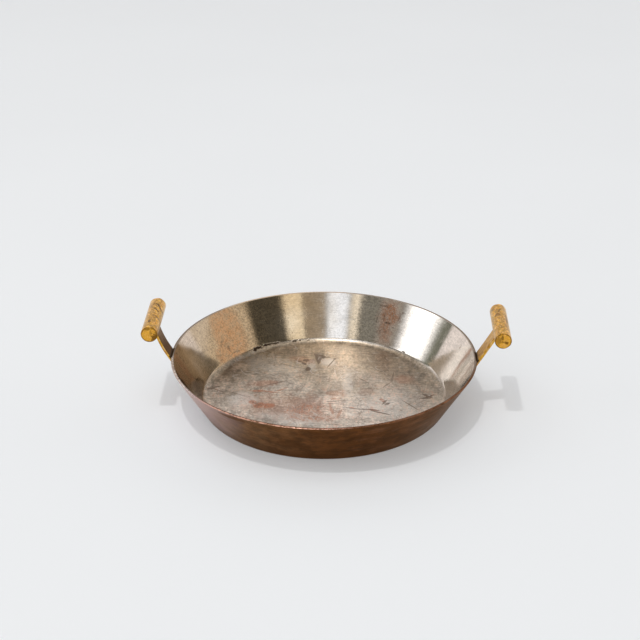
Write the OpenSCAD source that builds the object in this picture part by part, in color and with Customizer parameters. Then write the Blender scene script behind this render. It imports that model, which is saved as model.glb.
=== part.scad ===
// Two-handled copper pan: a flared body with a tin lining, and on each side a round grip on a riveted strap.
// Z is the axis of the pan and Z = 0 its underside. The right handle points along +X.

/* [Pan] */
// Diameter over the rim
rim_d = 300; // [270:1:380]
// Diameter of the underside, taken to the sharp corner that it would have with the wall
base_d = 242; // [180:1:275]
// Height of the rim above the underside
pan_h = 49; // [38:1:90]
// Thickness of the copper
copper_t = 2; // [1.4:0.1:3]
// Outside radius of the corner between underside and wall
corner_r = 6; // [4:0.5:12]
// Chamfer on the outer edge of the rim
rim_break = 0.4; // [0.2:0.1:1]

/* [Lining] */
// Thickness of the tin wiped over the inside
lining_t = 0.3; // [0.2:0.05:0.8]

/* [Handle straps] */
// Width of the flat bar
strap_w = 18.5; // [12:0.5:26]
// Thickness of the flat bar
strap_t = 3; // [2:0.1:5]
// Corner radius of the strap's lower end
strap_corner_r = 4; // [1:0.5:6]
// Distance along the strap from the rim to the middle of the grip
handle_rise = 39.6; // [30:0.2:60]
// Straight length between the rim and the start of the bend
bend_start = 3; // [1:0.5:10]
// Angle in degrees by which the left strap bends upright above the rim
left_bend = 16; // [1:0.5:30]
// Angle in degrees by which the right strap bends upright above the rim
right_bend = 2; // [1:0.5:30]
// Angle in degrees by which each handle sits forward of the pan's middle line
handle_skew = 1.9; // [0:0.1:6]

/* [Grips] */
// Diameter of the round bar
grip_d = 16; // [12:0.5:22]
// Length of the round bar
grip_len = 69; // [45:1:100]
// Chamfer on the ends of the round bar
grip_break = 0.8; // [0.3:0.1:2]
// Depth to which the strap is let into the grip
seat_depth = 5; // [3:0.5:6]
// Gap filled by the solder round the strap's end
solder_gap = 0.1; // [0.05:0.05:0.3]

/* [Rivets] */
// Number of rivets in a row down each strap
rivet_count = 3; // [2:1:3]
// Diameter of the rivet's shank
rivet_d = 4; // [3:0.25:5]
// Distance down the wall from the rim to the first rivet
rivet_drop = 5.5; // [4.5:0.5:10]
// Distance from one rivet to the next
rivet_pitch = 7.5; // [7:0.5:10]
// Distance from the last rivet to the strap's lower end
rivet_edge = 5.5; // [4:0.5:9]
// Diameter of the domed outer head
head_d = 6.8; // [5.5:0.1:6.9]
// Height of the domed outer head
head_h = 1.8; // [1:0.1:3]
// Diameter of the flush inner head
flush_d = 6; // [5.5:0.1:6.8]
// Depth of the flush inner head
flush_h = 1; // [0.5:0.1:1.3]
// Clearance between a rivet and its hole
rivet_gap = 0.05; // [0.02:0.01:0.1]

/* [Hidden] */
$fn = 144;
// Facets in the rounded corner of the shell and in a strap's bend
corner_steps = 12;
bend_steps = 12;
// Length by which every cut runs past the surface that it opens
overrun = 1;

rim_r = rim_d / 2;
base_r = base_d / 2;
grip_r = grip_d / 2;
wall_a = atan2(pan_h, rim_r - base_r);
// Centre of the corner's arcs, shared by the copper and the lining
corner_at = [base_r - corner_r * tan(wall_a / 2), corner_r];
// The strap lies on the wall below the rim as far as its lower end
foot_len = rivet_drop + (rivet_count - 1) * rivet_pitch + rivet_edge;
// The flat bar is let down on the round wall until its two edges meet it
wall_curve_r = (rim_r - foot_len * cos(wall_a)) / sin(wall_a);
strap_bed = wall_curve_r - sqrt(pow(wall_curve_r, 2) - pow(strap_w / 2, 2));
strap_mid = strap_t / 2 - strap_bed;
bend_len = handle_rise - bend_start - grip_r;

copper = [0.47, 0.28, 0.21];
tin = [0.74, 0.71, 0.67];
strap_brass = [0.74, 0.52, 0.22];
grip_brass = [0.85, 0.62, 0.22];
rivet_copper = [0.60, 0.36, 0.25];

// Points on the half section of the shell, from the axis out to the rim, at a depth under the outside.
function shell_line(depth) = concat(
    [[0, depth]],
    [for (i = [0:corner_steps])
        let (a = wall_a * i / corner_steps)
        corner_at + (corner_r - depth) * [sin(a), -cos(a)]],
    [[rim_r - depth / sin(wall_a), pan_h]]
);

function reversed(list) = [for (i = [len(list) - 1:-1:0]) list[i]];

// A layer of the shell between two depths under the outside.
module shell(from_depth, to_depth) {
    rotate_extrude()
        polygon(concat(shell_line(from_depth), reversed(shell_line(to_depth))));
}

// Everything inside the outer surface of the pan.
module pan_block() {
    rotate_extrude()
        polygon(concat(shell_line(0), [[0, pan_h]]));
}

module rim_chamfer() {
    rotate_extrude()
        polygon([
            [rim_r - rim_break - overrun, pan_h + overrun],
            [rim_r + overrun, pan_h + overrun],
            [rim_r + overrun, pan_h - rim_break - overrun]
        ]);
}

// Places a handle's pieces at the rim, with X down the wall, Y along the rim and Z away from the wall.
module on_wall() {
    translate([rim_r, 0, pan_h])
        rotate([0, 180 - wall_a, 0])
            children();
}

module left_side() {
    rotate([0, 0, 180 + handle_skew])
        children();
}

module right_side() {
    rotate([0, 0, -handle_skew])
        children();
}

// The bend turns the strap from the slope of the wall towards upright, about a centre inside the pan.
function bend_radius(bend) = bend_len / bend * 180 / PI;
function bend_centre(bend) = [-bend_start, strap_mid - bend_radius(bend)];
function away(a) = [-sin(a), cos(a)];
function along(a) = [-cos(a), -sin(a)];
function on_bend(bend, a, side) = bend_centre(bend) + (bend_radius(bend) + side) * away(a);
function bend_side(bend, side) = [for (i = [0:bend_steps]) on_bend(bend, bend * i / bend_steps, side)];
function strap_tip(bend, side) = on_bend(bend, bend, side) + seat_depth * along(bend);
function grip_at(bend) = on_bend(bend, bend, 0) + grip_r * along(bend);

function strap_side(bend) = concat(
    [[foot_len, strap_mid + strap_t / 2]],
    bend_side(bend, strap_t / 2),
    [strap_tip(bend, strap_t / 2), strap_tip(bend, -strap_t / 2)],
    reversed(bend_side(bend, -strap_t / 2)),
    [[foot_len, strap_mid - strap_t / 2]]
);

// What is cut from one corner of the strap's lower end to round it.
module foot_corner() {
    translate([foot_len - strap_corner_r, strap_w / 2 - strap_corner_r, -strap_t])
        linear_extrude(3 * strap_t)
            difference() {
                square(strap_corner_r + overrun);
                circle(r = strap_corner_r);
            }
}

// Places its children at each rivet of a strap, with Z = 0 on the outside of the wall.
module each_rivet() {
    for (i = [0:rivet_count - 1])
        translate([rivet_drop + i * rivet_pitch, 0, 0])
            children();
}

// The hole that a rivet passes through, which opens out at the inside of the copper.
module rivet_hole() {
    translate([0, 0, -copper_t - overrun])
        cylinder(h = copper_t + strap_t + 2 * overrun, r = rivet_d / 2 + rivet_gap);
    translate([0, 0, -copper_t])
        cylinder(h = flush_h, r1 = flush_d / 2 + rivet_gap, r2 = rivet_d / 2 + rivet_gap);
    translate([0, 0, -copper_t - overrun])
        cylinder(h = overrun, r = flush_d / 2 + rivet_gap);
}

// A rivet: a flush head under the lining, a shank, and a domed head on the strap.
module rivet() {
    seat = strap_mid + strap_t / 2;
    dome_r = (pow(head_d / 2, 2) + pow(head_h, 2)) / (2 * head_h);
    translate([0, 0, -copper_t])
        cylinder(h = flush_h, r1 = flush_d / 2, r2 = rivet_d / 2);
    translate([0, 0, -copper_t])
        cylinder(h = copper_t + seat, r = rivet_d / 2);
    translate([0, 0, seat])
        intersection() {
            translate([0, 0, head_h - dome_r])
                sphere(r = dome_r);
            cylinder(h = head_h + overrun, r = head_d / 2 + overrun);
        }
}

module strap(bend) {
    difference() {
        on_wall()
            difference() {
                rotate([90, 0, 0])
                    linear_extrude(strap_w, center = true)
                        polygon(strap_side(bend));
                foot_corner();
                mirror([0, 1, 0])
                    foot_corner();
                each_rivet()
                    rivet_hole();
            }
        pan_block();
    }
}

module grip(bend) {
    axis_at = grip_at(bend);
    on_wall()
        translate([axis_at[0], 0, axis_at[1]])
            difference() {
                rotate([90, 0, 0])
                    rotate_extrude()
                        polygon([
                            [0, -grip_len / 2],
                            [grip_r - grip_break, -grip_len / 2],
                            [grip_r, grip_break - grip_len / 2],
                            [grip_r, grip_len / 2 - grip_break],
                            [grip_r - grip_break, grip_len / 2],
                            [0, grip_len / 2]
                        ]);
                rotate([0, -bend, 0])
                    translate([
                        grip_r - seat_depth - solder_gap,
                        -strap_w / 2 - solder_gap,
                        -strap_t / 2 - solder_gap
                    ])
                        cube([
                            seat_depth + solder_gap + overrun,
                            strap_w + 2 * solder_gap,
                            strap_t + 2 * solder_gap
                        ]);
            }
}

module copper_body() {
    color(copper)
        difference() {
            shell(0, copper_t);
            rim_chamfer();
            left_side()
                on_wall()
                    each_rivet()
                        rivet_hole();
            right_side()
                on_wall()
                    each_rivet()
                        rivet_hole();
        }
}

module tin_lining() {
    color(tin)
        shell(copper_t, copper_t + lining_t);
}

module left_strap() {
    color(strap_brass)
        left_side()
            strap(left_bend);
}

module right_strap() {
    color(strap_brass)
        right_side()
            strap(right_bend);
}

module left_grip() {
    color(grip_brass)
        left_side()
            grip(left_bend);
}

module right_grip() {
    color(grip_brass)
        right_side()
            grip(right_bend);
}

module left_rivets() {
    color(rivet_copper)
        left_side()
            on_wall()
                each_rivet()
                    rivet();
}

module right_rivets() {
    color(rivet_copper)
        right_side()
            on_wall()
                each_rivet()
                    rivet();
}

copper_body();
tin_lining();
left_strap();
right_strap();
left_grip();
right_grip();
left_rivets();
right_rivets();
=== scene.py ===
import math

import bmesh
import bpy
from bpy.props import FloatProperty, FloatVectorProperty, IntProperty, PointerProperty
from mathutils import Matrix, Vector, noise


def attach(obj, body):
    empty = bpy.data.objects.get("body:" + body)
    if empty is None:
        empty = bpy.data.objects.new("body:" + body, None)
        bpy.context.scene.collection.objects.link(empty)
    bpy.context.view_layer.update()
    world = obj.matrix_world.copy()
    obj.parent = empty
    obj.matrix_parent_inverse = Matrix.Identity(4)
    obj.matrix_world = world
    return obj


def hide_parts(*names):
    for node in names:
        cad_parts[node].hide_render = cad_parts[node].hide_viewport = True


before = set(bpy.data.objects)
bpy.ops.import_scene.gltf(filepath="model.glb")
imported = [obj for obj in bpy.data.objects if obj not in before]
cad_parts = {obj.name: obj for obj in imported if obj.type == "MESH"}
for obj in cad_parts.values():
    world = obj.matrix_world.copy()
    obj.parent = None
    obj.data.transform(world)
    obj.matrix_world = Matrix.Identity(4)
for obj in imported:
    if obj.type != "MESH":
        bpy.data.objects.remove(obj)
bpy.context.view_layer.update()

bl_info = {
    "name": "Two-handled copper pan",
    "version": (1, 0, 0),
    "blender": (4, 5, 0),
    "location": "View3D > Sidebar > Copper pan",
    "description": "A tinned copper pan with brass bar handles, and the studio that it stands in",
    "category": "Add Mesh",
}

MM = 0.001
FULL_TURN = 2 * math.pi
# Points nearer than this are one
WELD = 0.001 * MM
# Faces round the pan and across its rounded corner, and the length of one on wall, floor and hidden side
PAN_TURNS = 360
CORNER_ROWS = 12
WALL_ROW = 1.1 * MM
FLOOR_ROW = 3.2 * MM
HIDDEN_ROW = 9 * MM
# How high the pan's floor swells
FLOOR_SWELL_H = 0.10 * MM
# Length of one face along and across the strap
STRAP_ROW = 1.2 * MM
STRAP_ACROSS_ROW = 1.5 * MM
# Solder at the grip: how far out it shows, and how thick it gets
SOLDER_LEN = 1.1 * MM
SOLDER_H = 0.5 * MM
# Faces round a grip, the length of one, and the rings of faces on its end
GRIP_TURNS = 96
GRIP_ROW = 1.1 * MM
END_RINGS = 7
END_ROW = 0.9 * MM
# Bruises on the ends of the grips: their depth, and how far from the edge they reach
BRUISE_H = 0.42 * MM
BRUISE_REACH = 1.5 * MM
# Faces round a rivet and up its dome, the length of one, and the depth of the hammer's facets
RIVET_TURNS = 40
DOME_ROWS = 12
RIVET_ROW = 1 * MM
FACET_H = 0.16 * MM
# How far the domes are sunk into the strap, so that no light shows under them
DOME_SUNK = 0.05 * MM
# Clear space between the pan and the studio floor, too thin to see
FLOOR_CLEARANCE = 0.2 * MM


def length(name, text, default):
    return FloatProperty(
        name=name, description=text, default=default, min=0.0, subtype="DISTANCE", unit="LENGTH",
    )


def angle(name, text, degrees):
    return FloatProperty(
        name=name, description=text, default=math.radians(degrees), subtype="ANGLE", unit="ROTATION",
    )


def colour(name, text, default):
    return FloatVectorProperty(
        name=name, description=text, default=default, min=0.0, max=1.0, size=3, subtype="COLOR",
    )


def amount(name, text, default):
    return FloatProperty(name=name, description=text, default=default, min=0.0)


class PanSizes(bpy.types.PropertyGroup):
    """Sizes of the copper body and its lining."""
    rim_d: length("Rim diameter", "Diameter over the rim", 300 * MM)
    base_d: length("Base diameter", "Diameter of the underside, to the sharp corner", 242 * MM)
    pan_h: length("Height", "Height of the rim above the underside", 49 * MM)
    copper_t: length("Copper thickness", "Thickness of the copper sheet", 2 * MM)
    corner_r: length("Corner radius", "Outside radius between underside and wall", 6 * MM)
    rim_break: length("Rim edge", "How far the rim's edges are eased", 0.4 * MM)
    lining_t: length("Tin thickness", "Thickness of the tin wiped over the inside", 0.3 * MM)
    tin_corner_r: length("Tin corner radius", "Radius of the corner inside, where tin has gathered", 9 * MM)
    dent_h: length("Unevenness", "Depth of the soft dents in the beaten wall", 0.16 * MM)


class HandleSizes(bpy.types.PropertyGroup):
    """Sizes of the straps, grips and rivets."""
    strap_w: length("Strap width", "Width of the flat bar", 18.5 * MM)
    strap_t: length("Strap thickness", "Thickness of the flat bar", 3 * MM)
    strap_corner_r: length("Foot corner radius", "Corner radius of the strap's lower end", 4 * MM)
    strap_break: length("Strap edge", "How far the strap's edges are eased", 0.35 * MM)
    handle_rise: length("Handle rise", "Distance along the strap from rim to grip", 39.6 * MM)
    bend_start: length("Bend start", "Straight length between rim and bend", 3 * MM)
    left_bend: angle("Left bend", "Angle by which the left strap is bent upright", 16)
    right_bend: angle("Right bend", "Angle by which the right strap is bent upright", 2)
    handle_skew: angle("Handle skew", "Angle by which each handle sits forward", 1.9)
    grip_d: length("Grip diameter", "Diameter of the round bar", 16 * MM)
    grip_len: length("Grip length", "Length of the round bar", 69 * MM)
    grip_break: length("Grip edge", "Chamfer on the ends of the round bar", 0.8 * MM)
    seat_depth: length("Seat depth", "Depth to which the strap is let into the grip", 5 * MM)
    rivet_count: IntProperty(
        name="Rivets", description="Rivets in a row down each strap", default=3, min=2, max=3,
    )
    rivet_d: length("Rivet diameter", "Diameter of the rivet's shank", 4 * MM)
    rivet_drop: length("First rivet", "Distance down the wall from rim to first rivet", 5.5 * MM)
    rivet_pitch: length("Rivet pitch", "Distance from one rivet to the next", 7.5 * MM)
    rivet_edge: length("Last rivet", "Distance from last rivet to the strap's lower end", 5.5 * MM)
    head_d: length("Head diameter", "Diameter of the domed outer head", 6.8 * MM)
    head_h: length("Head height", "Height of the domed outer head", 1.8 * MM)
    flush_d: length("Flush head diameter", "Diameter of the flush inner head", 6 * MM)
    flush_h: length("Flush head depth", "Depth of the flush inner head", 1 * MM)


class PanFinish(bpy.types.PropertyGroup):
    """Colours of the metals and of what age has done to them."""
    clean_tin: colour("Clean tin", "Tin where it is wiped clean", (0.78, 0.73, 0.68))
    yellow_tin: colour("Yellowed tin", "Tin that heat has yellowed", (0.60, 0.49, 0.36))
    floor_yellow: colour("Yellow floor", "Dull tin at the back of the floor", (0.46, 0.37, 0.27))
    floor_pink: colour("Pink floor", "Dull tin at the front of the floor", (0.61, 0.53, 0.46))
    # Painted shade: the colour that darkens the tin round the outside of the floor
    floor_painted_shade: colour("Floor shade", "Darkened tin round the outside of the floor", (0.23, 0.178, 0.125))
    # Painted shade: the brown that darkens the wall round its left end
    wall_painted_shade: colour("Wall tarnish", "Brown tarnish at the left end of the wall", (0.27, 0.19, 0.125))
    tan_stain: colour("Tan stain", "Baked stain on the wall", (0.64, 0.39, 0.22))
    red_stain: colour("Red stain", "Reddish stain on the wall", (0.42, 0.22, 0.13))
    rim_grey: colour("Rim grey", "Dull tin on the edge of the rim", (0.23, 0.195, 0.16))
    bare_copper: colour("Bare copper", "Copper showing through worn tin", (0.50, 0.215, 0.125))
    # Dark stain colour, also used as painted shade low on the wall
    dark_stain_and_shade: colour("Dark stain", "Scorched marks on the tin", (0.16, 0.11, 0.08))
    # Brown-black residue, also used as painted contact shadow at the straps
    residue_and_shadow: colour("Residue", "Brown-black crust in the corner", (0.045, 0.026, 0.013))
    # Bright copper, also painted on the rim's lip as a highlight
    bright_copper_and_highlight: colour("Bright copper", "Copper rubbed bright on the rim", (0.86, 0.49, 0.37))
    brown_copper: colour("Brown copper", "Copper under its brown patina", (0.132, 0.046, 0.012))
    grey_copper: colour("Grey copper", "Copper where the patina is greyer", (0.22, 0.122, 0.058))
    # Darkest patina, also used as painted shade low down on the copper
    dark_copper_and_shade: colour("Dark copper", "Copper where the patina is thickest", (0.095, 0.032, 0.007))
    # Plum tint, painted paler as a sheen at the left front of the copper
    plum_copper_and_sheen: colour("Plum copper", "Copper coloured by heat", (0.53, 0.41, 0.43))
    gold_brass: colour("Gold brass", "Brass of the grips", (0.70, 0.39, 0.045))
    orange_brass: colour("Orange brass", "Grips where they have turned orange", (0.55, 0.27, 0.042))
    end_brass: colour("End brass", "Brass of the ends of the grips", (0.88, 0.45, 0.055))
    dull_brass: colour("Dull brass", "Tarnish in the scratches of the brass", (0.26, 0.125, 0.024))
    strap_brass: colour("Strap brass", "Brass of the straps", (0.78, 0.44, 0.055))
    # Pale brass, also painted as sheen where brass is seen at a glance
    pale_brass_and_sheen: colour("Pale brass", "Brass rubbed bright", (0.88, 0.66, 0.36))
    # Tarnished brass, also used as painted shade on the straps and round the grips' ends
    brown_brass_and_shade: colour("Brown brass", "Brass darkened by tarnish", (0.085, 0.036, 0.009))


class StudioSettings(bpy.types.PropertyGroup):
    """Floor, light and camera."""
    floor_colour: colour("Floor", "Colour of the paper floor", (0.575, 0.595, 0.62))
    floor_glow: colour("Floor glow", "Paleness that the camera sees in the floor", (0.268, 0.273, 0.280))
    ceiling: amount("Ceiling", "Brightness straight above the pan", 3.1)
    soft_light: amount("Soft light", "Brightness of the brightest soft light overhead", 1.7)
    surround: amount("Surround", "Brightness of the room between the lights", 0.11)
    key_power: FloatProperty(
        name="Key lamp", description="Power of the lamp overhead", default=25.0, min=0, unit="POWER",
    )
    lens: FloatProperty(
        name="Lens", description="Focal length of the camera", default=64.74, min=1, unit="CAMERA",
    )
    camera_turn: angle("Camera turn", "How far the camera stands round to the side", 1.7)
    camera_height: angle("Camera height", "How far the camera looks down", 24.92)


def pan_sizes():
    return bpy.context.scene.pan_sizes


def handle_sizes():
    return bpy.context.scene.handle_sizes


def finish():
    return bpy.context.scene.pan_finish


def opaque(value):
    return (*value, 1.0)


# Shapes

def make_piece(name, bm, material, sharp_at=35):
    """Turns a finished bmesh into a piece of the pan that rides on its one body."""
    mesh = bpy.data.meshes.new(name)
    bm.to_mesh(mesh)
    bm.free()
    mesh.polygons.foreach_set("use_smooth", [True] * len(mesh.polygons))
    mesh.set_sharp_from_angle(angle=math.radians(sharp_at))
    mesh.materials.append(material)
    piece = bpy.data.objects.new(name, mesh)
    bpy.context.scene.collection.objects.link(piece)
    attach(piece, "root")
    return piece


def line_to(bm, last, end, row):
    """Carries a section line straight on to a point, in rows of about the given length."""
    start = last.co.copy()
    end = Vector((end[0], 0, end[1]))
    rows = max(1, round((end - start).length / row))
    for step in range(1, rows + 1):
        last = bmesh.ops.extrude_vert_indiv(bm, verts=[last])["verts"][0]
        last.co = start.lerp(end, step / rows)
    return last


def arc_round(bm, last, centre, turn, rows):
    """Carries a section line on along an arc, where a positive turn runs from floor to wall."""
    made = bmesh.ops.spin(bm, geom=[last], cent=(centre[0], 0, centre[1]), axis=(0, -1, 0), dvec=(0, 0, 0),
                          angle=turn, steps=rows, use_duplicate=False)
    return [item for item in made["geom_last"] if isinstance(item, bmesh.types.BMVert)][0]


def ease(bm, edges, offset, segments=3):
    """Rounds edges over."""
    bmesh.ops.bevel(bm, geom=edges, offset=offset, offset_type="OFFSET", segments=segments, profile=0.5,
                    affect="EDGES", material=-1)


def turn_section(bm, turns):
    """Spins the section line once round Z into a closed skin whose faces point outwards."""
    bmesh.ops.spin(bm, geom=bm.verts[:] + bm.edges[:], cent=(0, 0, 0), axis=(0, 0, 1), dvec=(0, 0, 0),
                   angle=FULL_TURN, steps=turns, use_merge=True, use_duplicate=False)
    bmesh.ops.remove_doubles(bm, verts=bm.verts[:], dist=WELD)
    bmesh.ops.recalc_face_normals(bm, faces=bm.faces[:])


def wall_slope():
    """Angle between the wall and the floor of the pan."""
    p = pan_sizes()
    return math.atan2(p.pan_h, (p.rim_d - p.base_d) / 2)


def corner_centre():
    """Centre of the rounded corner, shared by the copper and the lining."""
    p = pan_sizes()
    return p.base_d / 2 - p.corner_r * math.tan(wall_slope() / 2), p.corner_r


def rim_at(depth):
    """Radius at which a layer of the shell meets the top of the rim."""
    p = pan_sizes()
    return p.rim_d / 2 - depth / math.sin(wall_slope())


def shell_section(bm, near, far, near_rows, far_rows, near_r=None):
    """Section line of a layer of the shell: out along its near face, over the rim, and back."""
    p = pan_sizes()
    slope = wall_slope()
    centre = corner_centre()
    # A wider corner on the near face keeps its tangents on the floor and on the wall
    near_r = near_r or p.corner_r - near
    near_centre = (p.base_d / 2 - (near + near_r) * math.tan(slope / 2), near + near_r)
    last = bm.verts.new((0, 0, near))
    last = line_to(bm, last, (near_centre[0], near), near_rows[0])
    last = arc_round(bm, last, near_centre, slope, CORNER_ROWS)
    last = line_to(bm, last, (rim_at(near), p.pan_h), near_rows[1])
    last = line_to(bm, last, (rim_at(far), p.pan_h), p.pan_h)
    far_r = centre[1] - far
    foot = Vector((centre[0] + far_r * math.sin(slope), centre[1] - far_r * math.cos(slope)))
    last = line_to(bm, last, foot, far_rows[1])
    last = arc_round(bm, last, centre, -slope, CORNER_ROWS)
    line_to(bm, last, (0, far), far_rows[0])


def smooth_step(low, high, value):
    share = min(1.0, max(0.0, (value - low) / (high - low)))
    return share * share * (3 - 2 * share)


def beat(bm):
    """Presses soft dents into the wall and the floor, away from the straps, as a hammer leaves them."""
    p = pan_sizes()
    slope = wall_slope()
    for vert in bm.verts:
        place = vert.co.copy()
        out = math.hypot(place.x, place.y)
        if out < 1 * MM:
            continue
        on_wall = smooth_step(p.base_d / 2 - 8 * MM, p.base_d / 2 + 6 * MM, out)
        off_strap = smooth_step(12 * MM, 30 * MM, abs(place.y)) if abs(place.x) > 100 * MM else 1.0
        wide = 0.5 + 0.5 * noise.noise(place / (34 * MM))
        small = 0.5 + 0.5 * noise.noise(place / (13 * MM) + Vector((7, 3, 1)))
        press = p.dent_h * on_wall * off_strap * (0.75 * wide + 0.25 * small)
        inward = Vector((
            -place.x / out * math.sin(slope), -place.y / out * math.sin(slope), math.cos(slope),
        ))
        swell = 0.5 + 0.5 * noise.noise(place / (41 * MM) + Vector((0, 5, 9)))
        lift = FLOOR_SWELL_H * (1 - on_wall) * swell
        vert.co = place + inward * press + Vector((0, 0, lift))


def rim_edges(bm, radius):
    """The ring of edges at the top of the pan at one radius."""
    p = pan_sizes()
    near = 0.02 * MM

    def on_ring(vert):
        return abs(vert.co.z - p.pan_h) < near and abs(math.hypot(vert.co.x, vert.co.y) - radius) < near

    return [edge for edge in bm.edges if all(on_ring(vert) for vert in edge.verts)]


def build_copper_body():
    """The copper sheet, with its rim eased and its wall beaten."""
    p = pan_sizes()
    bm = bmesh.new()
    shell_section(bm, 0, p.copper_t, (FLOOR_ROW * 2, WALL_ROW), (HIDDEN_ROW, HIDDEN_ROW))
    turn_section(bm, PAN_TURNS)
    ease(bm, rim_edges(bm, p.rim_d / 2), p.rim_break)
    bmesh.ops.remove_doubles(bm, verts=bm.verts[:], dist=WELD)
    beat(bm)
    bmesh.ops.recalc_face_normals(bm, faces=bm.faces[:])
    piece = make_piece("copper_pan_body", bm, copper_material(), 50)
    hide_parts("copper_body")


def build_tin_lining():
    """The layer of tin on the inside, with a wider corner than the copper's."""
    p = pan_sizes()
    bm = bmesh.new()
    shell_section(bm, p.copper_t + p.lining_t, p.copper_t, (FLOOR_ROW, WALL_ROW), (HIDDEN_ROW, HIDDEN_ROW),
                  p.tin_corner_r)
    turn_section(bm, PAN_TURNS)
    beat(bm)
    bmesh.ops.recalc_face_normals(bm, faces=bm.faces[:])
    piece = make_piece("tin_lining_wiped", bm, tin_material(), 50)
    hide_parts("tin_lining")


def strap_measures():
    """Lengths that the strap, the grip and the rivets share, in the wall's own frame."""
    p = pan_sizes()
    h = handle_sizes()
    slope = wall_slope()
    foot = h.rivet_drop + (h.rivet_count - 1) * h.rivet_pitch + h.rivet_edge
    curve_r = (p.rim_d / 2 - foot * math.cos(slope)) / math.sin(slope)
    bed = curve_r - math.sqrt(curve_r ** 2 - (h.strap_w / 2) ** 2)
    middle = h.strap_t / 2 - bed
    bend_len = h.handle_rise - h.bend_start - h.grip_d / 2
    return foot, middle, bend_len


def to_handle(side):
    """Matrix from the wall's own frame, X down the wall, Y along the rim, Z outwards, to the pan's."""
    p = pan_sizes()
    h = handle_sizes()
    turn = math.pi + h.handle_skew if side == "left" else -h.handle_skew
    tilt = Matrix.Rotation(math.pi - wall_slope(), 4, "Y")
    return Matrix.Rotation(turn, 4, "Z") @ Matrix.Translation((p.rim_d / 2, 0, p.pan_h)) @ tilt


def bend_of(side):
    """How far one strap is bent upright."""
    h = handle_sizes()
    return h.left_bend if side == "left" else h.right_bend


def bent(place, bend):
    """Where a point of the flat bar goes when the bar is bent above the rim."""
    h = handle_sizes()
    _, middle, bend_len = strap_measures()
    run = -h.bend_start - place.x
    if run <= 0:
        return place
    radius = bend_len / bend
    turned = bend * min(1.0, run / bend_len)
    past = max(0.0, run - bend_len)
    reach = radius + place.z - middle
    return Vector((
        -h.bend_start - reach * math.sin(turned) - past * math.cos(turned),
        place.y,
        middle - radius + reach * math.cos(turned) - past * math.sin(turned),
    ))


def cut_rows(bm, axis, start, stop, row):
    """Cuts rows of edges across everything, square to one axis."""
    rows = max(1, round((stop - start) / row))
    for step in range(1, rows):
        point = Vector((0, 0, 0))
        point[axis] = start + (stop - start) * step / rows
        square = Vector((0, 0, 0))
        square[axis] = 1
        everything = bm.verts[:] + bm.edges[:] + bm.faces[:]
        bmesh.ops.bisect_plane(bm, geom=everything, dist=0.0001 * MM, plane_co=point, plane_no=square)


def keep_places(bm):
    """Stores where each point lies on the bar before it is bent and set, in millimetres."""
    places = bm.verts.layers.float_vector.new("bar_place")
    for vert in bm.verts:
        vert[places] = vert.co / MM


def build_strap(side):
    """A flat bar, bedded on the wall below the rim and bent above it."""
    p = pan_sizes()
    h = handle_sizes()
    foot, middle, bend_len = strap_measures()
    tip = -(h.bend_start + bend_len + h.seat_depth)
    bm = bmesh.new()
    bmesh.ops.create_cube(bm, size=1.0)
    bmesh.ops.scale(bm, vec=(foot - tip, h.strap_w, h.strap_t), verts=bm.verts[:])
    bmesh.ops.translate(bm, vec=((foot + tip) / 2, 0, middle), verts=bm.verts[:])
    corners = [e for e in bm.edges if all(abs(v.co.x - foot) < 0.01 * MM for v in e.verts)
               and abs(e.verts[0].co.z - e.verts[1].co.z) > 1 * MM]
    ease(bm, corners, h.strap_corner_r, 8)
    eased = [e for e in bm.edges if len(e.link_faces) == 2 and e.calc_face_angle(0) > math.radians(60)
             and max(v.co.x for v in e.verts) - tip > 0.01 * MM]
    ease(bm, eased, h.strap_break)
    cut_rows(bm, 0, tip, foot, STRAP_ROW)
    cut_rows(bm, 1, -h.strap_w / 2, h.strap_w / 2, STRAP_ACROSS_ROW)
    keep_places(bm)
    slope = wall_slope()
    for vert in bm.verts:
        place = vert.co.copy()
        # The bed: the inner face takes the round of the wall below the rim
        if place.z < middle - h.strap_t / 2 + 0.5 * h.strap_break and place.x > 0:
            curve_r = (p.rim_d / 2 - place.x * math.cos(slope)) / math.sin(slope)
            fall = curve_r - math.sqrt(curve_r ** 2 - place.y ** 2)
            place.z = max(place.z, 0.02 * MM - fall)
        else:
            rough = noise.noise(place / (7 * MM) + Vector((side == "left", 4, 2)))
            fine = noise.noise(place / (2.4 * MM) + Vector((3, side == "left", 8)))
            face = 1 if place.z > middle else -1
            place.z += 0.045 * MM * (rough - 1) * face + 0.012 * MM * fine
            place.y *= 1 - 0.006 * (0.5 + 0.5 * rough)
        # Solder drawn up round the bar where it enters the grip
        short = -h.bend_start - bend_len + SOLDER_LEN - place.x
        if short > 0:
            swell = SOLDER_H * min(1.0, short / SOLDER_LEN) ** 2
            if abs(place.y) > h.strap_w / 2 - 1 * MM:
                place.y += math.copysign(swell, place.y)
            place.z += math.copysign(swell, place.z - middle)
        vert.co = bent(place, bend_of(side))
    bm.transform(to_handle(side))
    bmesh.ops.recalc_face_normals(bm, faces=bm.faces[:])
    piece = make_piece(side + "_strap_bar", bm, strap_material(side), 40)
    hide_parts(side + "_strap")


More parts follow.
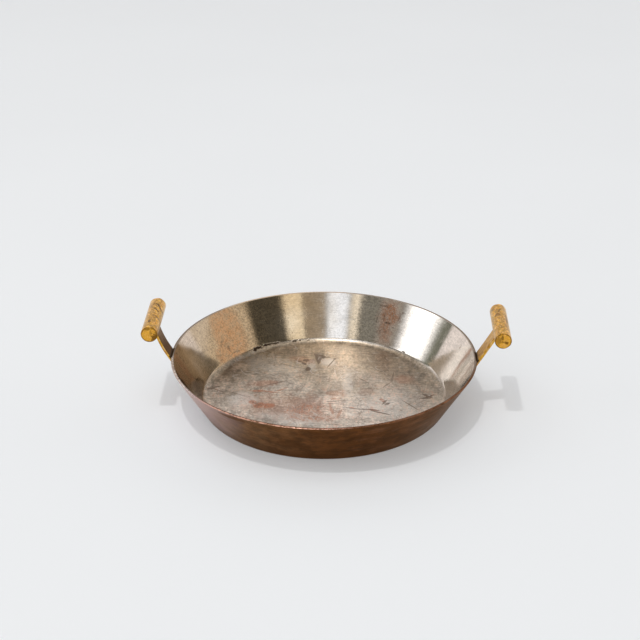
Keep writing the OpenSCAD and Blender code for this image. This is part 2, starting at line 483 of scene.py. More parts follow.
def build_grip(side):
    """A round bar across the strap's end, its ends bruised."""
    h = handle_sizes()
    _, middle, bend_len = strap_measures()
    radius = h.grip_d / 2
    half = h.grip_len / 2
    bm = bmesh.new()
    bmesh.ops.create_cone(bm, cap_ends=True, cap_tris=False, segments=GRIP_TURNS, radius1=radius,
                          radius2=radius, depth=h.grip_len, matrix=Matrix.Rotation(math.pi / 2, 4, "X"))
    ends = [f for f in bm.faces if len(f.verts) > 4]
    rings = list({e for f in ends for e in f.edges})
    ease(bm, rings, h.grip_break)
    cut_rows(bm, 1, -half, half, GRIP_ROW)
    for face in [f for f in bm.faces if len(f.verts) > 4]:
        for _ in range(END_RINGS):
            bmesh.ops.inset_region(bm, faces=[face], thickness=END_ROW, use_even_offset=True)
        bmesh.ops.poke(bm, faces=[face])
    keep_places(bm)
    seed = Vector((11, 2, 5)) if side == "left" else Vector((1, 17, 3))
    for vert in bm.verts:
        place = vert.co.copy()
        out = math.hypot(place.x, place.z)
        to_edge = math.hypot(radius - out, half - abs(place.y))
        bruise = noise.noise(place / (4.5 * MM) + seed) + 0.25 * noise.noise(place / (1.6 * MM) + seed)
        hollow = 0.5 + 0.5 * noise.noise(place / (9 * MM) + seed)
        fine = 0.5 + 0.5 * noise.noise(place / (1.9 * MM) + seed)
        press = BRUISE_H * max(0.0, bruise) * math.exp(-to_edge / BRUISE_REACH)
        press += 0.05 * MM * hollow + 0.03 * MM * fine
        if out > radius - 1.2 * h.grip_break:
            place.x *= 1 - press / out
            place.z *= 1 - press / out
        if abs(place.y) > half - h.grip_break:
            place.y -= math.copysign(press, place.y)
        vert.co = place
    # The bar's middle lies square to the end of the bent strap
    centre = bent(Vector((-h.bend_start - bend_len - radius, 0, middle)), bend_of(side))
    bm.transform(to_handle(side) @ Matrix.Translation(centre))
    bmesh.ops.recalc_face_normals(bm, faces=bm.faces[:])
    piece = make_piece(side + "_grip_bar", bm, grip_material(side), 50)
    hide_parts(side + "_grip")


def build_rivets(side):
    """The rivets of one strap: each a flush head under the lining, a shank, and a hammered dome outside."""
    p = pan_sizes()
    h = handle_sizes()
    _, middle, _ = strap_measures()
    seat = middle + h.strap_t / 2 - DOME_SUNK
    dome_r = ((h.head_d / 2) ** 2 + h.head_h ** 2) / (2 * h.head_h)
    dome_turn = math.asin(h.head_d / 2 / dome_r)
    bm = bmesh.new()
    for index in range(h.rivet_count):
        one = bmesh.new()
        last = one.verts.new((0, 0, -p.copper_t))
        for corner in (
            (h.flush_d / 2, -p.copper_t),
            (h.rivet_d / 2, h.flush_h - p.copper_t),
            (h.rivet_d / 2, seat),
            (h.head_d / 2, seat),
        ):
            last = line_to(one, last, corner, RIVET_ROW)
        last = arc_round(one, last, (0, seat + h.head_h - dome_r), dome_turn, DOME_ROWS)
        last.co.x = 0
        turn_section(one, RIVET_TURNS)
        for vert in one.verts:
            place = vert.co.copy()
            if place.z > seat:
                facet = abs(noise.noise(place / (2.1 * MM) + Vector((index * 5, side == "left", 3))))
                edge = smooth_step(0.0, 0.5 * MM, place.z - seat)
                vert.co.z = place.z - FACET_H * facet * edge
                vert.co.x = place.x * (1 - 0.05 * facet)
                vert.co.y = place.y * (1 - 0.05 * facet)
        one.transform(Matrix.Translation((h.rivet_drop + index * h.rivet_pitch, 0, 0)))
        mesh = bpy.data.meshes.new("one rivet")
        one.to_mesh(mesh)
        one.free()
        bm.from_mesh(mesh)
        bpy.data.meshes.remove(mesh)
    bm.transform(to_handle(side))
    bmesh.ops.recalc_face_normals(bm, faces=bm.faces[:])
    piece = make_piece(side + "_rivet_row", bm, rivet_material(), 50)
    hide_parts(side + "_rivets")


# Nodes

FLOAT = "NodeSocketFloat"
VECTOR = "NodeSocketVector"


def give(tree, socket, value):
    if isinstance(value, bpy.types.NodeSocket):
        tree.links.new(value, socket)
    else:
        socket.default_value = value


def put(tree, kind, inputs=None, **settings):
    """Adds a node, sets it, and gives its inputs their values or links."""
    made = tree.nodes.new(kind)
    for name, value in settings.items():
        setattr(made, name, value)
    for name, value in (inputs or {}).items():
        give(tree, made.inputs[name], value)
    return made


def calc(tree, operation, first, second=0.0, third=0.0, clamp=False):
    values = {0: first, 1: second, 2: third}
    return put(tree, "ShaderNodeMath", values, operation=operation, use_clamp=clamp).outputs[0]


def weigh(tree, *parts):
    """Adds up values, each times its weight."""
    total = 0.0
    for value, weight in parts:
        total = calc(tree, "MULTIPLY_ADD", value, weight, total)
    return total


def times(tree, first, *others):
    for other in others:
        first = calc(tree, "MULTIPLY", first, other)
    return first


def spread(tree, value, low, high, to_low=0.0, to_high=1.0):
    """Maps a value smoothly from one range to another."""
    made = put(tree, "ShaderNodeMapRange", {
        "Value": value, "From Min": low, "From Max": high, "To Min": to_low, "To Max": to_high,
    }, interpolation_type="SMOOTHSTEP")
    return made.outputs["Result"]


def blend(tree, share, first, second, way="MIX"):
    made = put(tree, "ShaderNodeMix", {0: share, 6: first, 7: second}, data_type="RGBA", blend_type=way)
    return made.outputs[2]


def ramp(tree, value, low, high):
    """Maps a value in a straight line from one range to nought and one."""
    made = put(tree, "ShaderNodeMapRange", {"Value": value, "From Min": low, "From Max": high})
    return made.outputs["Result"]


def tone(tree, base, level):
    """Darkens or lightens a colour by a level that changes over the surface."""
    return blend(tree, 1.0, base, level, "MULTIPLY")


def without(tree, mask):
    return calc(tree, "SUBTRACT", 1.0, mask)


def centred(tree, value):
    """A pattern about nought instead of about a half."""
    return calc(tree, "SUBTRACT", value, 0.5)


def about_one(tree, value):
    """A pattern about one instead of about nought."""
    return calc(tree, "ADD", value, 1.0)


def both_ways(tree, value):
    return calc(tree, "ABSOLUTE", value)


def joined(tree, masks):
    """The strongest of several masks."""
    total = masks[0]
    for mask in masks[1:]:
        total = calc(tree, "MAXIMUM", total, mask)
    return total


def split(tree, vector):
    return put(tree, "ShaderNodeSeparateXYZ", {0: vector}).outputs


def length_of(tree, first, second):
    return calc(tree, "SQRT", weigh(tree, (times(tree, first, first), 1.0), (second, second)))


def vector_calc(tree, operation, first, second, third=(0.0, 0.0, 0.0)):
    made = put(tree, "ShaderNodeVectorMath", {0: first, 1: second, 2: third}, operation=operation)
    return made.outputs[0]


def turn_level(tree, vector, turn):
    """Turns a place about the upright axis."""
    made = put(tree, "ShaderNodeVectorRotate", {"Vector": vector, "Angle": turn}, rotation_type="Z_AXIS")
    return made.outputs[0]


def grain(tree, vector, scale, detail=3.0, rough=0.5):
    made = put(tree, "ShaderNodeTexNoise", {
        "Vector": vector, "Scale": scale, "Detail": detail, "Roughness": rough,
    })
    return made.outputs["Fac"]


def stretch(tree, vector, scale, turn=0.0, shift=(0.0, 0.0, 0.0)):
    made = put(tree, "ShaderNodeMapping", {
        "Vector": vector, "Location": shift, "Rotation": (0.0, 0.0, turn), "Scale": scale,
    })
    return made.outputs["Vector"]


def shifted(tree, vector, shift):
    """A place moved along, so that two patterns of like scale don't agree."""
    return stretch(tree, vector, (1.0, 1.0, 1.0), 0.0, shift)


def start_group(name, inputs, outputs):
    """Opens a shader node group with named sockets."""
    tree = bpy.data.node_groups.new(name, "ShaderNodeTree")
    for label, kind, default in inputs:
        socket = tree.interface.new_socket(name=label, in_out="INPUT", socket_type=kind)
        if default is not None:
            socket.default_value = default
    for label, kind in outputs:
        tree.interface.new_socket(name=label, in_out="OUTPUT", socket_type=kind)
    return tree, tree.nodes.new("NodeGroupInput"), tree.nodes.new("NodeGroupOutput")


def place_group(tree, name, build, inputs):
    """Places a node group, which is built where it is first used."""
    made = tree.nodes.new("ShaderNodeGroup")
    made.node_tree = bpy.data.node_groups.get(name) or build(name)
    for label, value in inputs.items():
        give(tree, made.inputs[label], value)
    return made.outputs[0]


def brush_marks_group(name):
    """Fine lines that run round the pan's axis, as a wiping cloth leaves them."""
    tree, given, result = start_group(
        name,
        [("Vector", VECTOR, None), ("Round", FLOAT, 8.0), ("Across", FLOAT, 1.0), ("Detail", FLOAT, 3.0)],
        [("Value", FLOAT)],
    )
    x, y, z = split(tree, given.outputs["Vector"])
    out = calc(tree, "MAXIMUM", length_of(tree, x, y), 0.5)
    across = times(tree, calc(tree, "ADD", out, z), given.outputs["Across"])
    round_x = times(tree, calc(tree, "DIVIDE", x, out), given.outputs["Round"])
    round_y = times(tree, calc(tree, "DIVIDE", y, out), given.outputs["Round"])
    polar = put(tree, "ShaderNodeCombineXYZ", {0: round_x, 1: round_y, 2: across})
    lines = grain(tree, polar.outputs[0], 1.0, given.outputs["Detail"], 0.6)
    tree.links.new(lines, result.inputs["Value"])
    return tree


def worn_place_group(name):
    """One ragged patch of wear or stain, an ellipse of given half lengths about a centre."""
    tree, given, result = start_group(
        name,
        [
            ("Vector", VECTOR, None), ("Centre", VECTOR, None), ("Size", VECTOR, None),
            ("Turn", FLOAT, 0.0), ("Edge", FLOAT, 0.5), ("Ragged", FLOAT, 0.6), ("Soft", FLOAT, 0.25),
        ],
        [("Mask", FLOAT)],
    )
    moved = vector_calc(tree, "SUBTRACT", given.outputs["Vector"], given.outputs["Centre"])
    level = turn_level(tree, moved, times(tree, given.outputs["Turn"], -1.0))
    scaled = vector_calc(tree, "DIVIDE", level, given.outputs["Size"])
    far = put(tree, "ShaderNodeVectorMath", {0: scaled}, operation="LENGTH").outputs["Value"]
    shift = times(tree, centred(tree, given.outputs["Edge"]), given.outputs["Ragged"], 2.0)
    frayed = calc(tree, "ADD", far, shift)
    soft = given.outputs["Soft"]
    mask = spread(tree, frayed, calc(tree, "ADD", 1.0, soft), without(tree, soft))
    tree.links.new(mask, result.inputs["Mask"])
    return tree


def broken_line(tree, off, patchy, given):
    """A thin line, kept only where the patches are strong."""
    line = ramp(tree, off, given.outputs["Thin"], 0.0)
    kept = ramp(tree, patchy, given.outputs["Kept"], calc(tree, "ADD", given.outputs["Kept"], 0.08))
    return times(tree, line, kept)


def scratches_group(name):
    """Thin broken lines that run one way."""
    tree, given, result = start_group(
        name,
        [
            ("Vector", VECTOR, None), ("Turn", FLOAT, 0.0), ("Length", FLOAT, 30.0),
            ("Spacing", FLOAT, 5.0), ("Thin", FLOAT, 0.02), ("Kept", FLOAT, 0.5),
        ],
        [("Mask", FLOAT)],
    )
    level = turn_level(tree, given.outputs["Vector"], given.outputs["Turn"])
    drift = put(tree, "ShaderNodeTexNoise", {"Vector": level, "Scale": 0.03, "Detail": 1.0})
    pushed = vector_calc(tree, "MULTIPLY_ADD", drift.outputs["Color"], (6.0, 6.0, 6.0), level)
    size = put(tree, "ShaderNodeCombineXYZ", {
        0: given.outputs["Length"], 1: given.outputs["Spacing"], 2: given.outputs["Spacing"],
    })
    scaled = vector_calc(tree, "DIVIDE", pushed, size.outputs[0])
    off = both_ways(tree, centred(tree, grain(tree, scaled, 1.0, 0.0)))
    patchy = grain(tree, scaled, 0.7, 1.0)
    tree.links.new(broken_line(tree, off, patchy, given), result.inputs["Mask"])
    return tree


def specks_group(name):
    """Small scattered pits or specks."""
    tree, given, result = start_group(
        name,
        [("Vector", VECTOR, None), ("Spacing", FLOAT, 4.0), ("Size", FLOAT, 0.2), ("Kept", FLOAT, 0.7)],
        [("Mask", FLOAT)],
    )
    cells = put(tree, "ShaderNodeTexVoronoi", {
        "Vector": given.outputs["Vector"], "Scale": calc(tree, "DIVIDE", 1.0, given.outputs["Spacing"]),
    })
    pick = put(tree, "ShaderNodeSeparateColor", {0: cells.outputs["Color"]})
    kept = calc(tree, "GREATER_THAN", pick.outputs[0], given.outputs["Kept"])
    size = times(tree, given.outputs["Size"], calc(tree, "ADD", 0.4, pick.outputs[1]))
    spot = ramp(tree, cells.outputs["Distance"], size, times(tree, size, 0.5))
    tree.links.new(times(tree, spot, kept), result.inputs["Mask"])
    return tree


def veins_group(name):
    """Thin broken lines that wander, as cracks and edges of old crust do."""
    tree, given, result = start_group(
        name,
        [("Vector", VECTOR, None), ("Spacing", FLOAT, 12.0), ("Thin", FLOAT, 0.02), ("Kept", FLOAT, 0.5)],
        [("Mask", FLOAT)],
    )
    scale = calc(tree, "DIVIDE", 1.0, given.outputs["Spacing"])
    field = grain(tree, given.outputs["Vector"], scale, 3.0, 0.55)
    off = both_ways(tree, centred(tree, field))
    patchy = grain(tree, given.outputs["Vector"], times(tree, scale, 0.63), 2.0)
    tree.links.new(broken_line(tree, off, patchy, given), result.inputs["Mask"])
    return tree


def brush_marks(tree, vector, along, across, detail):
    return place_group(tree, "Brush marks", brush_marks_group, {
        "Vector": vector, "Round": along, "Across": across, "Detail": detail,
    })


def veins(tree, vector, spacing, thin, kept):
    return place_group(tree, "Veins", veins_group, {
        "Vector": vector, "Spacing": spacing, "Thin": thin, "Kept": kept,
    })


def specks(tree, vector, spacing, size, kept):
    return place_group(tree, "Specks", specks_group, {
        "Vector": vector, "Spacing": spacing, "Size": size, "Kept": kept,
    })


def scratches(tree, vector, degrees, long, spacing, thin, kept):
    return place_group(tree, "Scratches", scratches_group, {
        "Vector": vector, "Turn": math.radians(degrees), "Length": long, "Spacing": spacing, "Thin": thin,
        "Kept": kept,
    })


def new_material(name):
    """A new material, its tree and its shader, and the place on the piece in millimetres."""
    material = bpy.data.materials.new(name)
    material.use_nodes = True
    tree = material.node_tree
    shader = tree.nodes["Principled BSDF"]
    where = tree.nodes.new("ShaderNodeTexCoord")
    values = {0: where.outputs["Object"], "Scale": 1 / MM}
    in_mm = put(tree, "ShaderNodeVectorMath", values, operation="SCALE")
    return material, tree, shader, in_mm.outputs[0]


def bar_place(tree):
    """Place on a bar before it was bent and set, in millimetres."""
    stored = put(tree, "ShaderNodeAttribute", attribute_name="bar_place", attribute_type="GEOMETRY")
    return stored.outputs["Vector"]


def add_bump(tree, shader, height):
    """Height is in millimetres."""
    bump = put(tree, "ShaderNodeBump", {"Strength": 1.0, "Distance": MM, "Height": height})
    tree.links.new(bump.outputs["Normal"], shader.inputs["Normal"])


def marks_mask(tree, vector, edge, marks, soft=0.25):
    """Joins a list of worn places into one mask. The edge is the noise that frays their outlines."""
    masks = []
    for centre, size, turn, ragged, strength in marks:
        one = place_group(tree, "Worn place", worn_place_group, {
            "Vector": vector, "Centre": centre, "Size": size, "Turn": math.radians(turn), "Edge": edge,
            "Ragged": ragged, "Soft": soft,
        })
        masks.append(times(tree, one, strength))
    return joined(tree, masks)


# Places of wear on the tin, in millimetres: centre, half lengths, turn in degrees, raggedness, strength.
# A half length of 400 leaves that direction out.
FLOOR_COPPER = [
    ((-70, -19, 0), (4.5, 3.6, 400), -40, 1.3, 0.75),
    ((-63, -25, 0), (5.5, 5.5, 400), -30, 1.5, 0.85),
    ((-54, -26, 0), (5.5, 5.0, 400), 10, 1.6, 0.85),
    ((-66, 4.5, 0), (9, 2.2, 400), 2, 1.7, 0.8),
    ((-53, 2.5, 0), (8, 1.2, 400), -8, 1.2, 0.75),
    ((-43, 8, 0), (7, 1.0, 400), 38, 1.3, 0.7),
    ((58, -11, 0), (2.2, 3.4, 400), 30, 1.2, 0.8),
    ((49, -31, 0), (5, 1.8, 400), -12, 1.3, 0.75),
    ((28, -27, 0), (2.6, 1.8, 400), 0, 1.2, 0.6),
    ((8, -30, 0), (1.4, 12, 400), 10, 2.2, 0.5),
    ((16, -40, 0), (1.4, 10, 400), -14, 2.2, 0.45),
    ((10.5, -10, 0), (4, 2, 400), 0, 1.6, 0.55),
]
FLOOR_WORN = [
    ((-16, -32, 0), (24, 13, 400), 8, 1.4, 1.0),
    ((-8, -49, 0), (26, 7, 400), 4, 1.4, 0.8),
    ((-38, -18, 0), (16, 7, 400), -10, 1.4, 0.5),
]
FLOOR_ORANGE = [
    ((-62, 20, 0), (15, 6, 400), 12, 1.8, 0.4),
    ((82, 34, 0), (10, 9, 400), 0, 1.6, 0.32),
    ((12, 0, 0), (9, 7, 400), 0, 2.2, 0.35),
    ((-34, -26, 0), (46, 22, 400), -8, 2.6, 0.30),
    ((-24, 74, 0), (15, 7, 400), -25, 2.0, 0.30),
    ((42, 5, 0), (8, 6, 400), 0, 2.0, 0.15),
]
FLOOR_LIGHT = [
    ((-80, -14, 0), (15, 12, 400), 10, 2.6, 0.7),
    ((-22, -55, 0), (17, 6, 400), 0, 2.4, 0.6),
    ((2, 71, 0), (8, 9, 400), 0, 1.8, 0.5),
    ((-14, 63, 0), (4, 12, 400), 0, 1.8, 0.4),
    ((24, 20, 0), (5, 26, 400), 0, 1.4, 0.3),
    ((56, -26, 0), (30, 16, 400), 0, 2.6, 0.35),
    ((-40, -46, 0), (20, 6, 400), -6, 2.2, 0.4),
    ((-60, 64, 0), (28, 17, 400), -34, 2.2, 0.35),
]
FLOOR_DARK = [
    ((-18, 54, 0), (2.6, 4.6, 400), 0, 1.0, 0.85),
    ((-23, 66, 0), (2.2, 4, 400), 35, 1.6, 0.75),
    ((-21, 74, 0), (3.4, 2.6, 400), 30, 1.8, 0.65),
    ((-27, 71, 0), (4, 1.4, 400), -20, 1.8, 0.6),
    ((-2.6, 82, 0), (2.4, 3.4, 400), 0, 0.9, 0.85),
    ((1.7, 81, 0), (4, 1.2, 400), 10, 0.9, 0.7),
    ((5.8, 68, 0), (0.8, 12, 400), -21, 0.5, 0.75),
    ((9.5, 78, 0), (1.6, 2, 400), 0, 0.8, 0.75),
    ((104, -3, 0), (6, 1.5, 400), 35, 2.0, 0.85),
    ((104, -2, 0), (5, 1.5, 400), -40, 2.0, 0.8),
    ((102, -6, 0), (6, 1.2, 400), 5, 2.0, 0.7),
    ((63, -19, 0), (3.6, 1.8, 400), 40, 1.6, 0.8),
    ((60, -16, 0), (1.2, 6, 400), -25, 1.6, 0.7),
    ((48, -31, 0), (8, 1.0, 400), -10, 1.4, 0.8),
    ((56, -36.5, 0), (10, 1.0, 400), -22, 1.0, 0.85),
    ((86, -21, 0), (13, 0.8, 400), -52, 0.6, 0.7),
    ((70, 39, 0), (0.9, 9, 400), -8, 0.8, 0.55),
    ((64, 22, 0), (0.9, 9, 400), -35, 0.8, 0.5),
    ((30, -29, 0), (13, 0.9, 400), -12, 1.0, 0.7),
    ((14, -14, 0), (12, 0.9, 400), 12, 1.0, 0.6),
    ((-112, 10, 0), (7, 2.4, 400), 30, 1.6, 0.7),
    ((-106, 4, 0), (8, 1.0, 400), -30, 0.9, 0.6),
    ((-52, 20, 0), (20, 1.0, 400), 28, 0.9, 0.55),
    ((-88, -2, 0), (13, 0.8, 400), -28, 0.8, 0.45),
    ((-62, 2, 0), (11, 0.8, 400), 2, 1.2, 0.6),
    ((-66, -22, 0), (9, 0.9, 400), -34, 1.2, 0.5),
    ((40, 30, 0), (10, 0.8, 400), -48, 0.8, 0.45),
    ((-40, 62, 0), (12, 0.8, 400), -28, 0.9, 0.5),
    ((50, 90, 0), (16, 1.0, 400), -12, 1.0, 0.4),
]
WALL_DARK = [
    ((-145.7, -1.4, 46.2), (1.4, 3, 1.3), 90, 1.0, 0.85),
    ((-142.5, 0.5, 41), (1.0, 3, 1.4), 90, 1.0, 0.7),
    ((-139.8, 2, 36.3), (1.2, 3, 1.2), 90, 1.0, 0.8),
    ((-137.5, -7.4, 32.7), (1.3, 3, 1.1), 90, 1.0, 0.85),
    ((-138, 38, 38), (0.5, 6, 6), 75, 0.8, 0.35),
    ((-133, 47, 36), (0.5, 6, 7), 70, 0.8, 0.3),
    ((-104, 76, 14), (1.6, 6, 3), 54, 1.8, 0.6),
    ((-112, 62, 9), (5, 6, 1.0), 60, 2.0, 0.6),
    ((-100, 80, 9), (7, 6, 1.2), 52, 2.2, 0.6),
    ((-108.6, 72.8, 23), (3.0, 8, 0.8), 56, 2.2, 0.5),
    ((-110.5, 70, 19.5), (0.8, 8, 2.4), 56, 2.2, 0.4),
    ((-103.6, 75, 15.0), (0.8, 8, 2.6), 40, 2.2, 0.5),
    ((66, 116, 27), (4, 12, 1.0), -29, 2.4, 0.8),
    ((61, 119, 31), (0.8, 12, 4), -22, 2.2, 0.7),
    ((72, 113, 24), (3, 12, 0.8), -20, 2.4, 0.5),
    ((76, 112, 35), (0.7, 12, 4), -44, 2.2, 0.5),
    ((80, 109, 40), (3, 12, 0.8), -34, 2.4, 0.4),
    ((62, 128, 42), (5, 12, 0.8), -27, 2.6, 0.45),
    ((55, 124, 28), (0.7, 12, 3), -27, 2.2, 0.6),
    ((137, 16, 30), (1.0, 6, 1.6), -83, 1.0, 0.5),
    ((134, 34, 39), (1.2, 6, 1.0), -75, 1.0, 0.45),
]
CORNER_CRUST = [
    ((-72, 95, 5.6), (6, 4, 1.5), 37, 2.0, 1.0),
    ((-76, 92, 5.2), (2.6, 4, 1.8), 37, 1.2, 1.0),
    ((-63, 101, 6.0), (7, 4, 1.2), 33, 1.8, 1.0),
    ((-55, 106, 5.6), (6, 4, 1.0), 30, 1.8, 0.9),
    ((-35, 114, 5.0), (2.4, 4, 1.0), 18, 1.6, 0.85),
    ((-29, 116, 5.0), (1.5, 4, 0.9), 15, 1.6, 0.8),
    ((-20, 118, 4.6), (1.5, 4, 0.7), 10, 1.6, 0.5),
    ((82, 88, 6.0), (2.0, 4, 0.8), -42, 1.4, 0.6),
]


# Stains of the wall, and where it is dull
WALL_TAN = [
    ((-104, 85, 26), (20, 30, 40), 51, 0.8, 0.95),
    ((-110, 66, 12), (11, 30, 10), 58, 1.4, 0.8),
]
WALL_RED = [
    ((67, 120, 34), (11, 30, 17), -29, 1.8, 1.0),
    ((64, 112, 15), (8, 30, 10), -29, 2.0, 0.8),
]
WALL_DULL = [
    ((50, 124, 26), (25, 40, 40), -22, 0.6, 1.0),
]
# The wedge-shaped stain behind the middle of the floor: its point, length, and half width at the back
WEDGE_POINT = (-7.5, 62.0)
WEDGE_LEN = 28.0
WEDGE_HALF = 6.0
# Sets of scratches: degrees round, length and distance apart in millimetres, thinness, and how few are kept
DARK_LINES = (
    (9, 26.0, 5.0, 0.026, 0.50),
    (-22, 22.0, 6.0, 0.026, 0.52),
    (58, 15.0, 6.0, 0.026, 0.56),
    (104, 18.0, 7.0, 0.026, 0.58),
    (3, 30.0, 3.5, 0.026, 0.50),
)
BRIGHT_LINES = (
    (72, 20.0, 8.0, 0.022, 0.58),
    (31, 24.0, 9.0, 0.022, 0.58),
    (-5, 34.0, 6.0, 0.022, 0.55),
)
GRIP_LINES = (
    (65, 9.0, 2.4, 0.08, 0.46),
    (-40, 7.0, 2.4, 0.08, 0.48),
    (15, 8.0, 2.6, 0.07, 0.50),
)


def scratch_sets(tree, vector, sets):
    return joined(tree, [scratches(tree, vector, *one) for one in sets])


class TinPatterns:
    """Places and patterns that the colour, the shine and the height of the tin share."""

    def __init__(self, tree, mm):
        self.tree = tree
        self.mm = mm
        self.x, self.y, self.z = split(tree, mm)
        self.on_wall = spread(tree, self.z, 3.5, 6.5)
        self.on_floor = without(tree, self.on_wall)
        self.flat = stretch(tree, mm, (1.0, 0.5, 1.0))
        self.clouds = grain(tree, mm, 0.022, 4.0, 0.55)
        self.mottle = grain(tree, mm, 0.10, 8.0, 0.62)
        self.patches = grain(tree, self.flat, 0.17, 6.0, 0.62)
        self.crumbs = grain(tree, self.flat, 0.42, 5.0, 0.65)
        self.fray = weigh(tree, (self.mottle, 0.5), (self.crumbs, 0.5))
        grit_place = stretch(tree, mm, (0.55, 0.8, 1.0), math.radians(-6), (9.0, 4.0, 2.0))
        self.grit = grain(tree, grit_place, 0.62, 2.0, 0.6)
        self.fine = brush_marks(tree, mm, 9.0, 1.4, 4.0)
        self.broad = brush_marks(tree, mm, 5.0, 0.25, 5.0)
        # Two wipes across the floor, in slightly different directions
        self.sweep = grain(tree, stretch(tree, mm, (0.07, 0.8, 1.0), math.radians(-7)), 1.0, 4.0, 0.6)
        second_wipe = stretch(tree, mm, (0.05, 1.1, 1.0), math.radians(15), (40.0, 9.0, 0.0))
        self.sweep_b = grain(tree, second_wipe, 1.0, 3.0, 0.55)

    def either(self, floor_value, wall_value):
        """One value on the floor, another on the wall."""
        values = {0: self.on_wall, 2: floor_value, 3: wall_value}
        return put(self.tree, "ShaderNodeMix", values, data_type="FLOAT").outputs[0]

    def marks(self, places, soft=0.25):
        return marks_mask(self.tree, self.mm, self.fray, places, soft)


def tin_ground(tree, t):
    """Colour of the tin without its stains, with painted shade on the outer floor and on the wall."""
    f = finish()
    x, y, z = t.x, t.y, t.z
    # Yellowed on the left, cleaner on the right; on the floor yellowed at the back, pinker at the front
    clean = spread(tree, weigh(tree, (x, 0.006), (t.clouds, 0.8)), 0.0, 0.6)
    clean_floor = spread(tree, weigh(tree, (y, -0.0045), (t.clouds, 1.0)), 0.05, 0.75)
    wall = blend(tree, clean, opaque(f.yellow_tin), opaque(f.clean_tin))
    floor = blend(tree, clean_floor, opaque(f.floor_yellow), opaque(f.floor_pink))
    # Painted shade: the outer part of the floor, towards the corner, is darker, most on the left and at the
    # back left
    left_shade = spread(tree, weigh(tree, (x, -0.85), (y, 0.5), (t.mottle, 30.0)), 68.0, 112.0)
    right_shade = spread(tree, weigh(tree, (x, 0.9), (y, 0.35), (t.mottle, 30.0)), 78.0, 115.0, 0.0, 0.6)
    back = spread(tree, y, 20.0, 80.0, 1.0, 0.4)
    uneven = spread(tree, t.patches, 0.35, 0.65, 0.54, 0.20)
    shade = times(tree, joined(tree, [left_shade, right_shade]), uneven, back)
    floor = blend(tree, shade, floor, opaque(f.floor_painted_shade))
    # Painted shade darkens the wall round its left end and low down in front; the wall is paler behind its
    # left end
    left_painted_shade = spread(tree, weigh(tree, (x, -1.0), (y, -0.7), (t.clouds, 20.0)), 125.0, 165.0)
    wall = blend(tree, times(tree, left_painted_shade, 0.68), wall, opaque(f.wall_painted_shade))
    pale = times(tree, spread(tree, x, -116.0, -130.0), spread(tree, y, 8.0, 30.0), 0.45)
    wall = blend(tree, pale, wall, opaque(f.clean_tin))
    # Painted shade low down at the front left of the wall, in the dark stain colour
    painted_low_shade = times(tree, spread(tree, z, 34.0, 8.0), spread(tree, y, 40.0, -10.0))
    painted_low_shade = times(tree, painted_low_shade, spread(tree, x, -90.0, -108.0), 0.6)
    wall = blend(tree, painted_low_shade, wall, opaque(f.dark_stain_and_shade))
    return blend(tree, t.on_wall, floor, wall)


def tin_level(tree, t):
    """Streaks left by wiping, and the grain of the dull tin, as a level of brightness."""
    x, y = t.x, t.y
    wiped = weigh(tree, (t.sweep, 0.15), (t.sweep_b, 0.15), (t.patches, 0.25), (t.mottle, 0.15),
                  (t.crumbs, 0.3))
    wiped = spread(tree, wiped, 0.42, 0.58, 0.62, 1.18)
    grit_share = spread(tree, weigh(tree, (x, 1.0), (y, 0.6)), -50.0, 60.0, 1.2, 0.65)
    floor_grit = times(tree, centred(tree, t.grit), grit_share)
    blotches = spread(tree, grain(tree, t.flat, 0.06, 6.0, 0.62), 0.38, 0.62, 0.80, 1.14)
    blotches = times(tree, calc(tree, "SUBTRACT", blotches, 1.0), spread(tree, x, 60.0, -50.0, 0.5, 1.0))
    drifts = spread(tree, grain(tree, t.flat, 0.026, 3.0, 0.55), 0.38, 0.62, 0.90, 1.13)
    floor = times(tree, wiped, about_one(tree, floor_grit), about_one(tree, blotches), drifts)
    wall = weigh(tree, (t.fine, 0.35), (t.mottle, 0.35), (t.crumbs, 0.3))
    wall = spread(tree, wall, 0.38, 0.60, 0.80, 1.06)
    wall_grit = times(tree, centred(tree, t.grit), spread(tree, x, -40.0, 60.0, 0.35, 0.3))
    return t.either(floor, times(tree, wall, about_one(tree, wall_grit)))


def stain_wall(tree, t, base):
    """Tan and red stains on the wall, pepper on its left, and pits. Keeps the stains' masks."""
    f = finish()
    t.tan = times(tree, t.marks(WALL_TAN, 0.22), t.on_wall)
    tan_tone = spread(tree, weigh(tree, (t.mottle, 0.6), (t.crumbs, 0.4)), 0.38, 0.62, 0.35, 1.0)
    base = blend(tree, times(tree, t.tan, tan_tone), base, opaque(f.tan_stain))
    tan_flecks = times(tree, t.tan, spread(tree, t.crumbs, 0.56, 0.70, 0.0, 0.7))
    base = blend(tree, tan_flecks, base, opaque(f.red_stain))
    pepper = grain(tree, shifted(tree, t.mm, (3.0, 21.0, 8.0)), 0.75, 3.0, 0.6)
    pepper = times(tree, spread(tree, pepper, 0.58, 0.68), spread(tree, t.x, -40.0, -80.0, 0.0, 0.3),
                   t.on_wall)
    base = blend(tree, pepper, base, opaque(f.dark_stain_and_shade))
    t.red = times(tree, t.marks(WALL_RED, 0.4), t.on_wall, spread(tree, t.crumbs, 0.36, 0.60, 0.45, 1.0))
    base = blend(tree, t.red, base, opaque(f.red_stain))
    # The stained and the dull parts of the wall are pitted
    pits = grain(tree, shifted(tree, t.mm, (5.0, 11.0, 2.0)), 0.5, 4.0, 0.62)
    left = times(tree, spread(tree, t.x, -35.0, -70.0), spread(tree, t.x, -132.0, -116.0, 0.4, 1.0))
    pitted = times(tree, joined(tree, [left, t.marks(WALL_DULL, 0.4)]), t.on_wall)
    return blend(tree, pitted, base, spread(tree, pits, 0.44, 0.62, 1.06, 0.74), "MULTIPLY")


